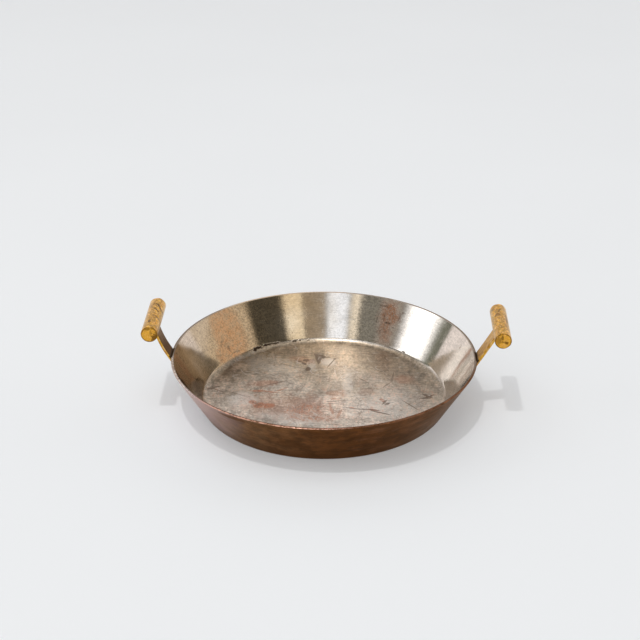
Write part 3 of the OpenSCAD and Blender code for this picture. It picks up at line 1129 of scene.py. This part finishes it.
def wedge_stain(tree, t):
    """Point towards the front."""
    share = calc(tree, "DIVIDE", calc(tree, "SUBTRACT", t.y, WEDGE_POINT[1]), WEDGE_LEN)
    off_axis = both_ways(tree, calc(tree, "SUBTRACT", t.x, WEDGE_POINT[0]))
    inside = calc(tree, "SUBTRACT", times(tree, share, WEDGE_HALF), off_axis)
    inside = weigh(tree, (inside, 1.0), (centred(tree, t.crumbs), 3.0))
    return times(tree, spread(tree, inside, -0.3, 0.7), spread(tree, share, 1.08, 0.95), t.on_floor, 0.68)


def wear_tin(tree, t, base):
    """Copper showing through the floor, dark stains, and scratches. Keeps the masks of what is worn."""
    f = finish()
    mm = t.mm
    light = times(tree, t.marks(FLOOR_LIGHT, 0.5), t.on_floor)
    base = blend(tree, light, base, opaque(f.clean_tin))
    rust = spread(tree, weigh(tree, (t.crumbs, 0.5), (t.patches, 0.5)), 0.51, 0.62)
    rust = times(tree, rust, spread(tree, t.y, 70.0, -20.0, 0.1, 0.42), t.on_floor)
    worn = times(tree, t.marks(FLOOR_WORN, 0.5), t.on_floor)
    net = joined(tree, [spread(tree, t.crumbs, 0.46, 0.60), veins(tree, mm, 9.0, 0.05, 0.3)])
    net = times(tree, worn, net, 0.9)
    orange = times(tree, t.marks(FLOOR_ORANGE, 0.5), t.on_floor)
    base = blend(tree, joined(tree, [orange, rust, net]), base, opaque(f.bare_copper))
    t.copper = times(tree, t.marks(FLOOR_COPPER), t.on_floor, spread(tree, t.crumbs, 0.38, 0.52, 0.4, 1.0))
    base = blend(tree, t.copper, base, opaque(f.bare_copper))
    t.lines = scratch_sets(tree, mm, DARK_LINES)
    t.cracks = joined(tree, [veins(tree, t.flat, 17.0, 0.013, 0.5), veins(tree, mm, 7.0, 0.016, 0.56)])
    t.dark = joined(tree, [
        times(tree, t.marks(FLOOR_DARK), t.on_floor),
        times(tree, t.marks(WALL_DARK), t.on_wall),
        wedge_stain(tree, t),
        times(tree, t.lines, t.either(0.42, 0.10)),
        times(tree, t.cracks, t.either(0.5, 0.10)),
        times(tree, worn, veins(tree, mm, 5.0, 0.03, 0.45), 0.6),
    ])
    base = blend(tree, t.dark, base, opaque(f.dark_stain_and_shade))
    bright_lines = times(tree, scratch_sets(tree, mm, BRIGHT_LINES), t.either(0.5, 0.2))
    return blend(tree, bright_lines, base, opaque(f.clean_tin))


def soil_tin(tree, t, base):
    """Specks, the crust in the corner, and darkening along the inner edge of the rim, most round the front.
    """
    f = finish()
    clear = spread(tree, weigh(tree, (t.x, 1.0), (t.y, -0.5)), 20.0, 50.0)
    share = t.either(0.55, spread(tree, clear, 0.0, 1.0, 0.45, 0.08))
    spots = times(tree, specks(tree, t.mm, 4.5, 0.14, 0.6), share)
    base = blend(tree, spots, base, opaque(f.dark_stain_and_shade))
    t.crust = t.marks(CORNER_CRUST, 0.3)
    base = blend(tree, t.crust, base, opaque(f.residue_and_shadow))
    inner_rim = times(tree, spread(tree, t.z, 48.3, 48.9), spread(tree, t.y, 60.0, 0.0, 0.1, 0.8))
    return blend(tree, inner_rim, base, opaque(f.dark_stain_and_shade))


def tin_material():
    """Tin wiped over copper: bright on the wall, dull, scratched and worn through on the floor."""
    material, tree, shader, mm = new_material("Wiped tin")
    t = TinPatterns(tree, mm)
    base = tone(tree, tin_ground(tree, t), tin_level(tree, t))
    base = stain_wall(tree, t, base)
    base = wear_tin(tree, t, base)
    base = soil_tin(tree, t, base)
    give(tree, shader.inputs["Base Color"], base)
    # The back of the wall is rougher to the floor than to the eye, so that it throws no bright streak there
    unseen = without(tree, tree.nodes.new("ShaderNodeLightPath").outputs["Is Camera Ray"])
    unseen = times(tree, unseen, spread(tree, t.y, 50.0, 115.0))
    smear = weigh(tree, (t.mottle, 0.6), (t.fine, 0.4))
    wall_rough = weigh(tree, (spread(tree, smear, 0.3, 0.7, 0.05, 0.11), 1.0), (unseen, 0.26))
    rough = t.either(spread(tree, t.patches, 0.3, 0.7, 0.34, 0.48), wall_rough)
    stained = joined(tree, [t.tan, t.red, t.copper, t.dark, t.crust])
    rough = weigh(tree, (rough, 1.0), (stained, 0.14), (t.crust, 0.4))
    give(tree, shader.inputs["Roughness"], rough)
    # Stains, and scuffs that scatter light, most on the right
    scuffs = grain(tree, shifted(tree, mm, (17.0, 3.0, 5.0)), 0.5, 2.0, 0.6)
    scuffs = times(tree, spread(tree, scuffs, 0.54, 0.64), spread(tree, t.x, -60.0, 60.0, 0.06, 0.14),
                   t.on_wall)
    coated = weigh(tree, (t.red, 0.4), (t.tan, 0.15), (t.crust, 0.3), (scuffs, 0.8))
    give(tree, shader.inputs["Metallic"], calc(tree, "SUBTRACT", 1.0, coated, clamp=True))
    # Height in millimetres
    height = weigh(tree, (t.fine, 0.006), (t.broad, 0.03), (t.lines, -0.010), (t.copper, -0.03))
    height = weigh(tree, (height, 1.0), (t.crust, 0.25), (t.cracks, -0.012))
    sweeps = times(tree, calc(tree, "ADD", t.sweep, t.sweep_b), t.on_floor)
    height = weigh(tree, (height, 1.0), (sweeps, 0.012), (t.mottle, t.either(0.035, 0.012)))
    height = weigh(tree, (height, 1.0), (t.grit, t.either(0.010, 0.002)))
    add_bump(tree, shader, height)
    return material


# Dark blots on the outside of the copper
COPPER_BLOTS = [
    ((-76, -129, 45), (8, 30, 2.4), 30, 1.4, 0.85),
    ((12, -148, 42), (18, 30, 1.3), 0, 1.6, 0.5),
    ((-30, -140, 22), (12, 30, 5), -12, 1.8, 0.5),
    ((-62, -128, 14), (9, 30, 4), 24, 1.8, 0.5),
    ((60, -125, 18), (14, 30, 4), 26, 1.8, 0.5),
    ((70, -132, 40), (14, 30, 2), 26, 1.8, 0.4),
    ((92, -110, 24), (10, 30, 3), 38, 1.8, 0.4),
]


def patina(tree, mm, streaks, fine, clouds, share):
    """Brown layer outside, redder to the right and greyer to the left, with a plum tint and painted sheen
    at the left front and painted shade low down. Also the mask of its plum part.
    """
    f = finish()
    x, y, z = split(tree, mm)
    warm = spread(tree, weigh(tree, (x, 1.0), (clouds, 80.0)), -80.0, 70.0)
    brown = blend(tree, warm, opaque(f.grey_copper), opaque(f.brown_copper))
    base = blend(tree, spread(tree, share, 0.36, 0.59), opaque(f.dark_copper_and_shade), brown)
    mottle = grain(tree, stretch(tree, mm, (1.0, 1.0, 1.7), 0.0, (4.0, 21.0, 9.0)), 0.085, 6.0, 0.66)
    base = tone(tree, base, spread(tree, mottle, 0.38, 0.62, 0.70, 1.25))
    base = tone(tree, base, spread(tree, fine, 0.35, 0.65, 0.78, 1.20))
    orange = times(tree, spread(tree, streaks, 0.48, 0.70), spread(tree, x, -20.0, 80.0, 0.0, 0.08))
    base = blend(tree, orange, base, opaque(f.bright_copper_and_highlight))
    # Plum tint with a painted sheen, paler at the left front, and painted shade that darkens the copper low
    # down
    leftward = weigh(tree, (x, 1.0), (clouds, 60.0))
    plum_sheen_mask = times(tree, spread(tree, leftward, -30.0, -88.0), spread(tree, clouds, 0.3, 0.6, 0.6, 1.0),
                 spread(tree, y, 30.0, -35.0, 0.2, 1.0))
    base = blend(tree, plum_sheen_mask, base, opaque(f.plum_copper_and_sheen))
    low = times(tree, spread(tree, z, 16.0, 1.5), 0.75)
    return blend(tree, low, base, opaque(f.dark_copper_and_shade)), plum_sheen_mask


def copper_rim(tree, mm, crumbs, base):
    """Rubbed bright and painted brighter as a highlight at the left front, brown elsewhere, tinned over at
    the back left. Also its mask.
    """
    f = finish()
    p = pan_sizes()
    x, y, z = split(tree, mm)
    out = length_of(tree, x, y)
    aside = both_ways(tree, x)
    top = p.pan_h / MM
    rim = p.rim_d / MM / 2
    ragged = times(tree, centred(tree, crumbs), 1.4)
    lip = spread(tree, calc(tree, "ADD", z, ragged), top - 0.8, top - 0.1)
    # Painted highlight: the lip is painted in bright copper, most at the left front
    front = times(tree, spread(tree, x, -126.0, -84.0), spread(tree, x, 34.0, 8.0, 0.16, 1.0),
                  spread(tree, y, -30.0, -90.0, 0.3, 1.0))
    rubbed_and_highlit = times(tree, front, spread(tree, crumbs, 0.38, 0.58, 0.20, 0.90))
    base = blend(tree, times(tree, lip, rubbed_and_highlit), base, opaque(f.bright_copper_and_highlight))
    near_top = spread(tree, z, top - 1.0, top - 0.5)
    inner = times(tree, spread(tree, calc(tree, "ADD", out, ragged), rim - 1.2, rim - 1.9), near_top)
    base = blend(tree, times(tree, inner, 0.85), base, opaque(f.dark_copper_and_shade))
    # Tin that has run over the rim, yellowed at the back left
    tinned = times(tree, spread(tree, out, rim - 0.3, rim - 1.0), near_top,
                   spread(tree, weigh(tree, (aside, 0.8), (y, 0.6)), 75.0, 115.0))
    over = times(tree, spread(tree, z, top - 0.7, top - 0.3), spread(tree, y, 60.0, 110.0, 0.0, 0.75))
    off_left = both_ways(tree, calc(tree, "ADD", x, 40.0))
    rim_tin = blend(tree, spread(tree, off_left, 50.0, 80.0), opaque(f.yellow_tin), opaque(f.rim_grey))
    base = blend(tree, joined(tree, [tinned, over]), base, rim_tin)
    # Darker at both sides, and a pale patch at the left
    darker_sides = times(tree, lip, spread(tree, aside, 80.0, 115.0, 0.0, 0.85), spread(tree, y, -60.0, 0.0),
                  spread(tree, out, rim - 1.0, rim - 0.7))
    base = blend(tree, darker_sides, base, opaque(f.dark_copper_and_shade))
    pale = times(tree, lip, spread(tree, x, -112.0, -132.0), spread(tree, y, 0.0, -20.0),
                 spread(tree, crumbs, 0.40, 0.60, 0.3, 0.8))
    return blend(tree, pale, base, opaque(f.clean_tin)), lip


def copper_material():
    """Copper with a brown patina, streaked round the pan and rubbed bright along the rim, with painted
    highlight, sheen and shade.
    """
    f = finish()
    material, tree, shader, mm = new_material("Aged copper")
    x, y, z = split(tree, mm)
    streaks = brush_marks(tree, mm, 6.0, 0.16, 5.0)
    fine = brush_marks(tree, mm, 16.0, 2.2, 3.0)
    clouds = grain(tree, mm, 0.035, 7.0, 0.62)
    crumbs = grain(tree, mm, 0.4, 5.0, 0.62)
    share = weigh(tree, (streaks, 0.3), (clouds, 0.6), (fine, 0.1))
    base, plum_sheen_mask = patina(tree, mm, streaks, fine, clouds, share)
    fray = weigh(tree, (clouds, 0.4), (crumbs, 0.6))
    base = blend(tree, marks_mask(tree, mm, fray, COPPER_BLOTS), base, opaque(f.dark_copper_and_shade))
    base, lip = copper_rim(tree, mm, crumbs, base)
    # Dirt and painted contact shadow where the straps lie on the rim
    by_strap = spread(tree, both_ways(tree, calc(tree, "ADD", y, 5.0)), 11.0, 9.6)
    far_out = spread(tree, both_ways(tree, x), 147.2, 148.6)
    dirt_and_shadow = times(tree, by_strap, far_out, spread(tree, z, 46.5, 48.2))
    base = blend(tree, dirt_and_shadow, base, opaque(f.residue_and_shadow))
    give(tree, shader.inputs["Base Color"], base)
    rough = spread(tree, share, 0.3, 0.7, 0.42, 0.28)
    give(tree, shader.inputs["Roughness"], weigh(tree, (rough, 1.0), (lip, -0.06), (dirt_and_shadow, 0.3)))
    give(tree, shader.inputs["Metallic"], weigh(tree, (1.0, 1.0), (plum_sheen_mask, -0.12)))
    # The brown layer keeps its colour where it is seen at a glance
    shader.inputs["Specular Tint"].default_value = (0.88, 0.75, 0.64, 1.0)
    add_bump(tree, shader, weigh(tree, (fine, 0.006), (streaks, 0.012), (crumbs, 0.02)))
    return material


def bar_brass(tree, place, first, second):
    """Brass colour of a bar: two tones in blotches, with dull and bright flecks."""
    f = finish()
    blotches = spread(tree, grain(tree, place, 0.30, 6.0, 0.64), 0.42, 0.58)
    base = blend(tree, blotches, first, second)
    flecks = grain(tree, place, 0.55, 4.0, 0.66)
    base = blend(tree, spread(tree, flecks, 0.51, 0.63, 0.0, 0.6), base, opaque(f.dull_brass))
    sparks = grain(tree, shifted(tree, place, (31.0, 7.0, 12.0)), 0.6, 4.0, 0.66)
    base = blend(tree, spread(tree, sparks, 0.51, 0.60, 0.0, 0.5), base, opaque(f.pale_brass_and_sheen))
    return base, flecks


def painted_grazing_sheen(tree, base, most):
    """Painted sheen: brass is painted paler where it is seen at a glance."""
    glance = put(tree, "ShaderNodeLayerWeight", {"Blend": 0.5}).outputs["Facing"]
    paler = spread(tree, glance, 0.60, 0.95, 0.0, most)
    return blend(tree, paler, base, opaque(finish().pale_brass_and_sheen))


# Marks on the front ends of the grips, seen from the front: the same columns as the places of wear
END_MARKS = {
    "left": [
        ((-159.0, -40, 81.5), (3.2, 9, 5), 0, 1.2, 0.8),
        ((-166, -40, 91), (4, 9, 1.4), 0, 1.4, 0.6),
        ((-163, -40, 87), (0.8, 9, 2.4), 0, 1.8, 0.4),
    ],
    "right": [
        ((168.3, -40, 86.5), (1.1, 9, 3.6), 0, 1.6, 0.7),
        ((164.5, -40, 84), (3.0, 9, 4.5), 0, 1.6, 0.5),
        ((172.3, -40, 81), (1.7, 9, 1.3), 0, 1.8, 0.7),
        ((170, -40, 82.0), (3.6, 9, 0.8), 0, 1.2, 0.5),
    ],
}
SIDE_MARKS = {
    "left": [
        ((-163, 12, 93), (0.9, 5, 30), 35, 2.0, 0.85),
        ((-165, 3, 93), (0.8, 6, 30), 40, 2.0, 0.85),
        ((-160, 6, 92), (0.8, 5, 30), 38, 2.0, 0.8),
        ((-168, 14, 92), (0.8, 3, 30), -20, 2.0, 0.7),
        ((-166, -26, 92), (1.4, 4, 30), 10, 2.0, 0.8),
        ((-161, -14, 92), (0.8, 5, 30), 50, 2.0, 0.7),
    ],
    "right": [
        ((171, 14, 91), (0.9, 4, 30), -24, 2.0, 0.7),
        ((176, -4, 88), (0.9, 12, 30), -2, 1.6, 0.6),
        ((168, 4, 91), (2.2, 3.0, 30), 0, 2.4, 0.5),
        ((165, 20, 91), (0.8, 5, 30), 40, 2.0, 0.6),
    ],
}


def grip_material(side):
    """Golden brass, mottled orange and scratched, with dark rings of painted shade round its ends, and
    painted paler where seen at a glance.
    """
    f = finish()
    h = handle_sizes()
    material, tree, shader, mm = new_material("Gold brass " + side)
    place = bar_place(tree)
    across, along, up = split(tree, place)
    base, flecks = bar_brass(tree, place, opaque(f.gold_brass), opaque(f.orange_brass))
    lines = scratch_sets(tree, place, GRIP_LINES)
    base = blend(tree, times(tree, lines, 0.5), base, opaque(f.dull_brass))
    worn = grain(tree, stretch(tree, place, (1.0, 0.6, 1.0), 0.0, (2.0, 13.0, 9.0)), 0.24, 4.0, 0.6)
    base = tone(tree, base, spread(tree, worn, 0.38, 0.62, 0.80, 1.25))
    out = length_of(tree, across, up)
    end = h.grip_len / 2 / MM
    on_end = spread(tree, both_ways(tree, along), end - 0.7, end - 0.35)
    on_side = without(tree, on_end)
    fray = grain(tree, place, 0.5, 4.0, 0.6)
    ragged_out = weigh(tree, (out, 1.0), (centred(tree, fray), 3.0))
    # Painted shade: a dark ring round the edge of each end
    ring = times(tree, on_end, spread(tree, ragged_out, 6.4, 7.4))
    end_marks = times(tree, on_end, marks_mask(tree, mm, fray, END_MARKS[side]))
    side_marks = times(tree, on_side, marks_mask(tree, mm, fray, SIDE_MARKS[side]))
    marks = joined(tree, [times(tree, ring, 0.7), end_marks, side_marks])
    base = painted_grazing_sheen(tree, base, 0.5)
    base = blend(tree, times(tree, on_end, 0.6), base, opaque(f.end_brass))
    base = blend(tree, marks, base, opaque(f.brown_brass_and_shade))
    give(tree, shader.inputs["Base Color"], base)
    give(tree, shader.inputs["Roughness"], spread(tree, flecks, 0.3, 0.7, 0.26, 0.46))
    shader.inputs["Metallic"].default_value = 1.0
    facets = grain(tree, place, 0.28, 2.0, 0.5)
    add_bump(tree, shader, weigh(tree, (flecks, 0.06), (lines, -0.03), (facets, 0.15), (marks, -0.05)))
    return material


def strap_material(side):
    """Filed brass, tarnished and painted dark as shade on the bar's inner face, with dirt and painted
    contact shadow where it meets the rim.
    """
    f = finish()
    material, tree, shader, _ = new_material("Strap brass " + side)
    place = bar_place(tree)
    along, _, up = split(tree, place)
    drawn = stretch(tree, place, (0.5, 1.0, 1.0))
    base, flecks = bar_brass(tree, drawn, opaque(f.strap_brass), opaque(f.orange_brass))
    filed = grain(tree, stretch(tree, place, (0.06, 1.6, 1.9)), 1.0, 4.0, 0.6)
    base = blend(tree, spread(tree, filed, 0.48, 0.66, 0.0, 0.6), base, opaque(f.dull_brass))
    base = blend(tree, spread(tree, filed, 0.44, 0.32, 0.0, 0.3), base, opaque(f.pale_brass_and_sheen))
    # Tarnish and painted shade on the bar's inner face, which faces the dark wall
    inner = spread(tree, up, 0.4, 0.0)
    if side == "left":
        tarnish_and_shade = times(tree, inner, spread(tree, along, -34.0, -8.0, 0.7, 1.0))
    else:
        tarnish_and_shade = times(tree, inner, spread(tree, along, -20.0, -2.0, 0.0, 0.35))
    browned = times(tree, tarnish_and_shade, spread(tree, flecks, 0.3, 0.7, 1.0, 0.85))
    base = blend(tree, browned, base, opaque(f.brown_brass_and_shade))
    # Dirt and painted contact shadow on the bar where it meets the rim
    dirt_and_shadow = spread(tree, weigh(tree, (along, 1.0), (centred(tree, flecks), 2.0)), -2.2, -0.6)
    dirt_and_shadow = times(tree, dirt_and_shadow, spread(tree, up, 1.8, 0.8))
    base = blend(tree, dirt_and_shadow, base, opaque(f.residue_and_shadow))
    give(tree, shader.inputs["Base Color"], base)
    rough = spread(tree, filed, 0.3, 0.7, 0.26, 0.42)
    give(tree, shader.inputs["Roughness"], calc(tree, "MULTIPLY_ADD", tarnish_and_shade, 0.1, rough))
    give(tree, shader.inputs["Metallic"], weigh(tree, (1.0, 1.0), (dirt_and_shadow, -0.2)))
    add_bump(tree, shader, weigh(tree, (filed, 0.02), (flecks, 0.03)))
    return material


def rivet_material():
    """Hammered copper heads, browned in their hollows."""
    known = bpy.data.materials.get("Rivet copper")
    if known:
        return known
    f = finish()
    material, tree, shader, mm = new_material("Rivet copper")
    marks = grain(tree, mm, 0.7, 5.0, 0.6)
    base = blend(tree, spread(tree, marks, 0.4, 0.6), opaque(f.brown_copper), opaque(f.bright_copper_and_highlight))
    give(tree, shader.inputs["Base Color"], base)
    give(tree, shader.inputs["Roughness"], spread(tree, marks, 0.3, 0.7, 0.42, 0.28))
    shader.inputs["Metallic"].default_value = 1.0
    add_bump(tree, shader, times(tree, marks, 0.05))
    return material


def floor_material():
    s = bpy.context.scene.pan_studio
    material, tree, shader, mm = new_material("Paper floor")
    tint = spread(tree, grain(tree, mm, 0.0015, 2.0), 0.35, 0.65, 0.985, 1.0)
    give(tree, shader.inputs["Base Color"], tone(tree, opaque(s.floor_colour), tint))
    shader.inputs["Roughness"].default_value = 0.85
    shader.inputs["Specular IOR Level"].default_value = 0.15
    # The floor looks paler than it lights the pan, which softens its shadows
    rays = tree.nodes.new("ShaderNodeLightPath").outputs
    seen = joined(tree, [rays["Is Camera Ray"], rays["Is Glossy Ray"], rays["Is Transmission Ray"]])
    glow = blend(tree, seen, opaque((0.0, 0.0, 0.0)), opaque(s.floor_glow))
    give(tree, shader.inputs["Emission Color"], glow)
    shader.inputs["Emission Strength"].default_value = 1.0
    return material


# Studio

def aim(azimuth, elevation, distance):
    """Point at an angle round from the front, rightwards positive, and above the horizon."""
    a = math.radians(azimuth)
    e = math.radians(elevation)
    return Vector((math.sin(a) * math.cos(e), -math.cos(a) * math.cos(e), math.sin(e))) * distance


def look_along(thing, place, way):
    """Sets a lamp or the camera down, looking one way."""
    bpy.context.scene.collection.objects.link(thing)
    thing.location = place
    thing.rotation_mode = "QUATERNION"
    thing.rotation_quaternion = way.to_track_quat("-Z", "Y")


# Lights and walls of the studio as the pan mirrors them. Degrees: middle (round from the front, rightwards
# positive), half width, lowest, highest and soft edge. Then the colour. Between them the room is dark.
ROOM = (
    (0, 50, -9, 9, 4, (1.60, 1.38, 1.24)),
    (-76, 18, -9, 10, 4, (2.00, 1.98, 1.96)),
    (180, 65.5, 8, 46, 0.8, (0.95, 0.94, 0.93)),
    (180, 65.5, -9, 18, 0.8, (0.95, 0.88, 0.84)),
    (180, 60, 50, 70, 6, (0.35, 0.35, 0.35)),
    (0, 58, 52, 70, 6, (0.65, 0.65, 0.65)),
    (98, 28, 5, 36, 3.5, (0.80, 0.70, 0.57)),
    (90, 30, 48, 70, 6, (0.45, 0.44, 0.42)),
    (-92, 30, 52, 70, 6, (2.10, 2.06, 2.02)),
    (29, 9, 22, 46, 3.5, (1.14, 1.02, 0.80)),
    (10, 10, 24, 48, 2, (0.46, 0.395, 0.31)),
    (-28, 5, 22, 46, 6, (1.12, 1.00, 0.80)),
    (-11, 10, 24, 50, 4, (1.16, 1.22, 1.30)),
    (-41, 9, 20, 46, 4, (0.25, 0.235, 0.195)),
    (-59, 10, 18, 44, 4, (0.35, 0.31, 0.26)),
    (-108, 7, 4, 40, 2, (0.21, 0.215, 0.17)),
    (-88, 13, 13, 36, 9, (2.40, 2.40, 2.40)),
)
HORIZON = (0.96, 0.86, 0.78)
SHADE_TINT = (1.0, 0.92, 0.75)
# Heights in degrees over which the horizon gives way to the dark room, and the room to the ceiling
HORIZON_EDGE = (7.0, 9.5)
CEILING_EDGE = (68.0, 76.0)
# Soft edges of the windows below and above, and of the lights overhead, in degrees either way
WINDOW_FOOT = 2
WINDOW_TOP = 4
LIGHT_EDGE = 4
# Soft lights overhead: degrees round from the front, above the floor, half width, and brightness as a share
SOFT_LIGHTS = (
    (-35, 72, 30, 0.45),
    (-35, 72, 18, 1.0),
)


def degrees_from(tree, direction, towards):
    facing = put(tree, "ShaderNodeVectorMath", {0: direction, 1: towards}, operation="DOT_PRODUCT")
    return calc(tree, "DEGREES", calc(tree, "ARCCOSINE", facing.outputs["Value"]))


def build_world():
    """Pale low down, windows and dark walls above that, and soft lights in a pale ceiling."""
    s = bpy.context.scene.pan_studio
    world = bpy.data.worlds.new("Studio")
    bpy.context.scene.world = world
    world.use_nodes = True
    tree = world.node_tree
    sky = tree.nodes["Background"]
    where = tree.nodes.new("ShaderNodeTexCoord").outputs["Generated"]
    x, y, z = split(tree, where)
    up = calc(tree, "DEGREES", calc(tree, "ARCSINE", z))
    level = put(tree, "ShaderNodeCombineXYZ", {0: x, 1: y}).outputs[0]
    level = put(tree, "ShaderNodeVectorMath", {0: level}, operation="NORMALIZE").outputs[0]
    shade = opaque([s.surround * v for v in SHADE_TINT])
    tint = blend(tree, spread(tree, up, *HORIZON_EDGE), opaque(HORIZON), shade)
    for centre, half, low, high, soft, glow in ROOM:
        away = degrees_from(tree, level, aim(centre, 0, 1))
        window = times(tree, spread(tree, away, half + soft, half - soft),
                       spread(tree, up, low - WINDOW_FOOT, low + WINDOW_FOOT),
                       spread(tree, up, high + WINDOW_TOP, high - WINDOW_TOP))
        tint = blend(tree, window, tint, opaque(glow))
    tint = blend(tree, spread(tree, up, *CEILING_EDGE), tint, opaque([s.ceiling] * 3))
    for azimuth, elevation, half, share in SOFT_LIGHTS:
        away = degrees_from(tree, where, aim(azimuth, elevation, 1))
        lit = spread(tree, away, half + LIGHT_EDGE, half - LIGHT_EDGE)
        tint = blend(tree, lit, tint, opaque([s.soft_light * share] * 3))
    give(tree, sky.inputs["Color"], tint)
    sky.inputs["Strength"].default_value = 1.0


# Half the floor's width, so that its edge lies near the horizon, and its faces along each side
FLOOR_HALF = 30.0
FLOOR_CELLS = 8
# The small lamp that throws the sharp shadows, aimed at the middle of the pan
KEY_PLACE = Vector((-0.55, -0.70, 3.3))
KEY_WIDTH = 0.12
KEY_TINT = (1.0, 0.98, 0.95)
PAN_MIDDLE = Vector((0, 0, 0.04))
# Where the camera stands, and the width of its sensor
CAMERA_PLACE = Vector((26.2, -1014.8, 555.7)) * MM
SENSOR_MM = 36


def add_floor():
    bm = bmesh.new()
    bmesh.ops.create_grid(bm, x_segments=FLOOR_CELLS, y_segments=FLOOR_CELLS, size=FLOOR_HALF,
                          matrix=Matrix.Translation((0, 0, -FLOOR_CLEARANCE)))
    mesh = bpy.data.meshes.new("paper_floor")
    bm.to_mesh(mesh)
    bm.free()
    mesh.materials.append(floor_material())
    floor = bpy.data.objects.new("paper_floor", mesh)
    bpy.context.scene.collection.objects.link(floor)


def add_key_lamp(power):
    light = bpy.data.lights.new("Key lamp", "AREA")
    light.shape = "DISK"
    light.size = KEY_WIDTH
    light.energy = power
    light.color = KEY_TINT
    look_along(bpy.data.objects.new("Key lamp", light), KEY_PLACE, PAN_MIDDLE - KEY_PLACE)


def add_camera(turn, drop, lens):
    camera_data = bpy.data.cameras.new("Camera")
    camera_data.lens = lens
    camera_data.sensor_width = SENSOR_MM
    camera_data.clip_end = 100
    camera = bpy.data.objects.new("Camera", camera_data)
    way = Vector((-math.sin(turn) * math.cos(drop), math.cos(turn) * math.cos(drop), -math.sin(drop)))
    look_along(camera, CAMERA_PLACE, way)
    bpy.context.scene.camera = camera


def build_stage():
    s = bpy.context.scene.pan_studio
    add_floor()
    build_world()
    add_key_lamp(s.key_power)
    add_camera(s.camera_turn, s.camera_height, s.lens)
    bpy.context.scene.view_settings.view_transform = "Standard"


# Operators and panel

class PAN_OT_copper_body(bpy.types.Operator):
    """Spins the copper body and beats its wall"""
    bl_idname = "pan.copper_body"
    bl_label = "Copper body"

    def execute(self, context):
        build_copper_body()
        return {"FINISHED"}


class PAN_OT_tin_lining(bpy.types.Operator):
    """Spins the tin lining over the inside of the copper"""
    bl_idname = "pan.tin_lining"
    bl_label = "Tin lining"

    def execute(self, context):
        build_tin_lining()
        return {"FINISHED"}


class PAN_OT_straps(bpy.types.Operator):
    """Bends the two flat bars that carry the grips"""
    bl_idname = "pan.straps"
    bl_label = "Handle straps"

    def execute(self, context):
        build_strap("left")
        build_strap("right")
        return {"FINISHED"}


class PAN_OT_grips(bpy.types.Operator):
    """Cuts the two round bars and bruises their ends"""
    bl_idname = "pan.grips"
    bl_label = "Grips"

    def execute(self, context):
        build_grip("left")
        build_grip("right")
        return {"FINISHED"}


class PAN_OT_rivets(bpy.types.Operator):
    """Sets the rivets through the straps and the wall"""
    bl_idname = "pan.rivets"
    bl_label = "Rivets"

    def execute(self, context):
        build_rivets("left")
        build_rivets("right")
        return {"FINISHED"}


class PAN_OT_stage(bpy.types.Operator):
    """Lays the paper floor and sets the lamps and the camera"""
    bl_idname = "pan.stage"
    bl_label = "Studio"

    def execute(self, context):
        build_stage()
        return {"FINISHED"}


class PAN_PT_panel(bpy.types.Panel):
    """Lists the pan's pieces and their sizes"""
    bl_idname = "PAN_PT_panel"
    bl_label = "Copper pan"
    bl_space_type = "VIEW_3D"
    bl_region_type = "UI"
    bl_category = "Copper pan"

    def draw(self, context):
        column = self.layout.column()
        for operator in OPERATORS:
            column.operator(operator.bl_idname)
        for name, group in SETTINGS.items():
            for label in group.__annotations__:
                column.prop(getattr(context.scene, name), label)


OPERATORS = (
    PAN_OT_copper_body, PAN_OT_tin_lining, PAN_OT_straps, PAN_OT_grips, PAN_OT_rivets, PAN_OT_stage,
)
SETTINGS = {
    "pan_sizes": PanSizes,
    "handle_sizes": HandleSizes,
    "pan_finish": PanFinish,
    "pan_studio": StudioSettings,
}


def register():
    for name, group in SETTINGS.items():
        bpy.utils.register_class(group)
        setattr(bpy.types.Scene, name, PointerProperty(type=group))
    for item in (*OPERATORS, PAN_PT_panel):
        bpy.utils.register_class(item)


def unregister():
    for item in (PAN_PT_panel, *reversed(OPERATORS)):
        bpy.utils.unregister_class(item)
    for name, group in reversed(SETTINGS.items()):
        delattr(bpy.types.Scene, name)
        bpy.utils.unregister_class(group)


def main():
    register()
    bpy.ops.pan.copper_body()
    bpy.ops.pan.tin_lining()
    bpy.ops.pan.straps()
    bpy.ops.pan.grips()
    bpy.ops.pan.rivets()
    bpy.ops.pan.stage()


if __name__ == "__main__":
    main()
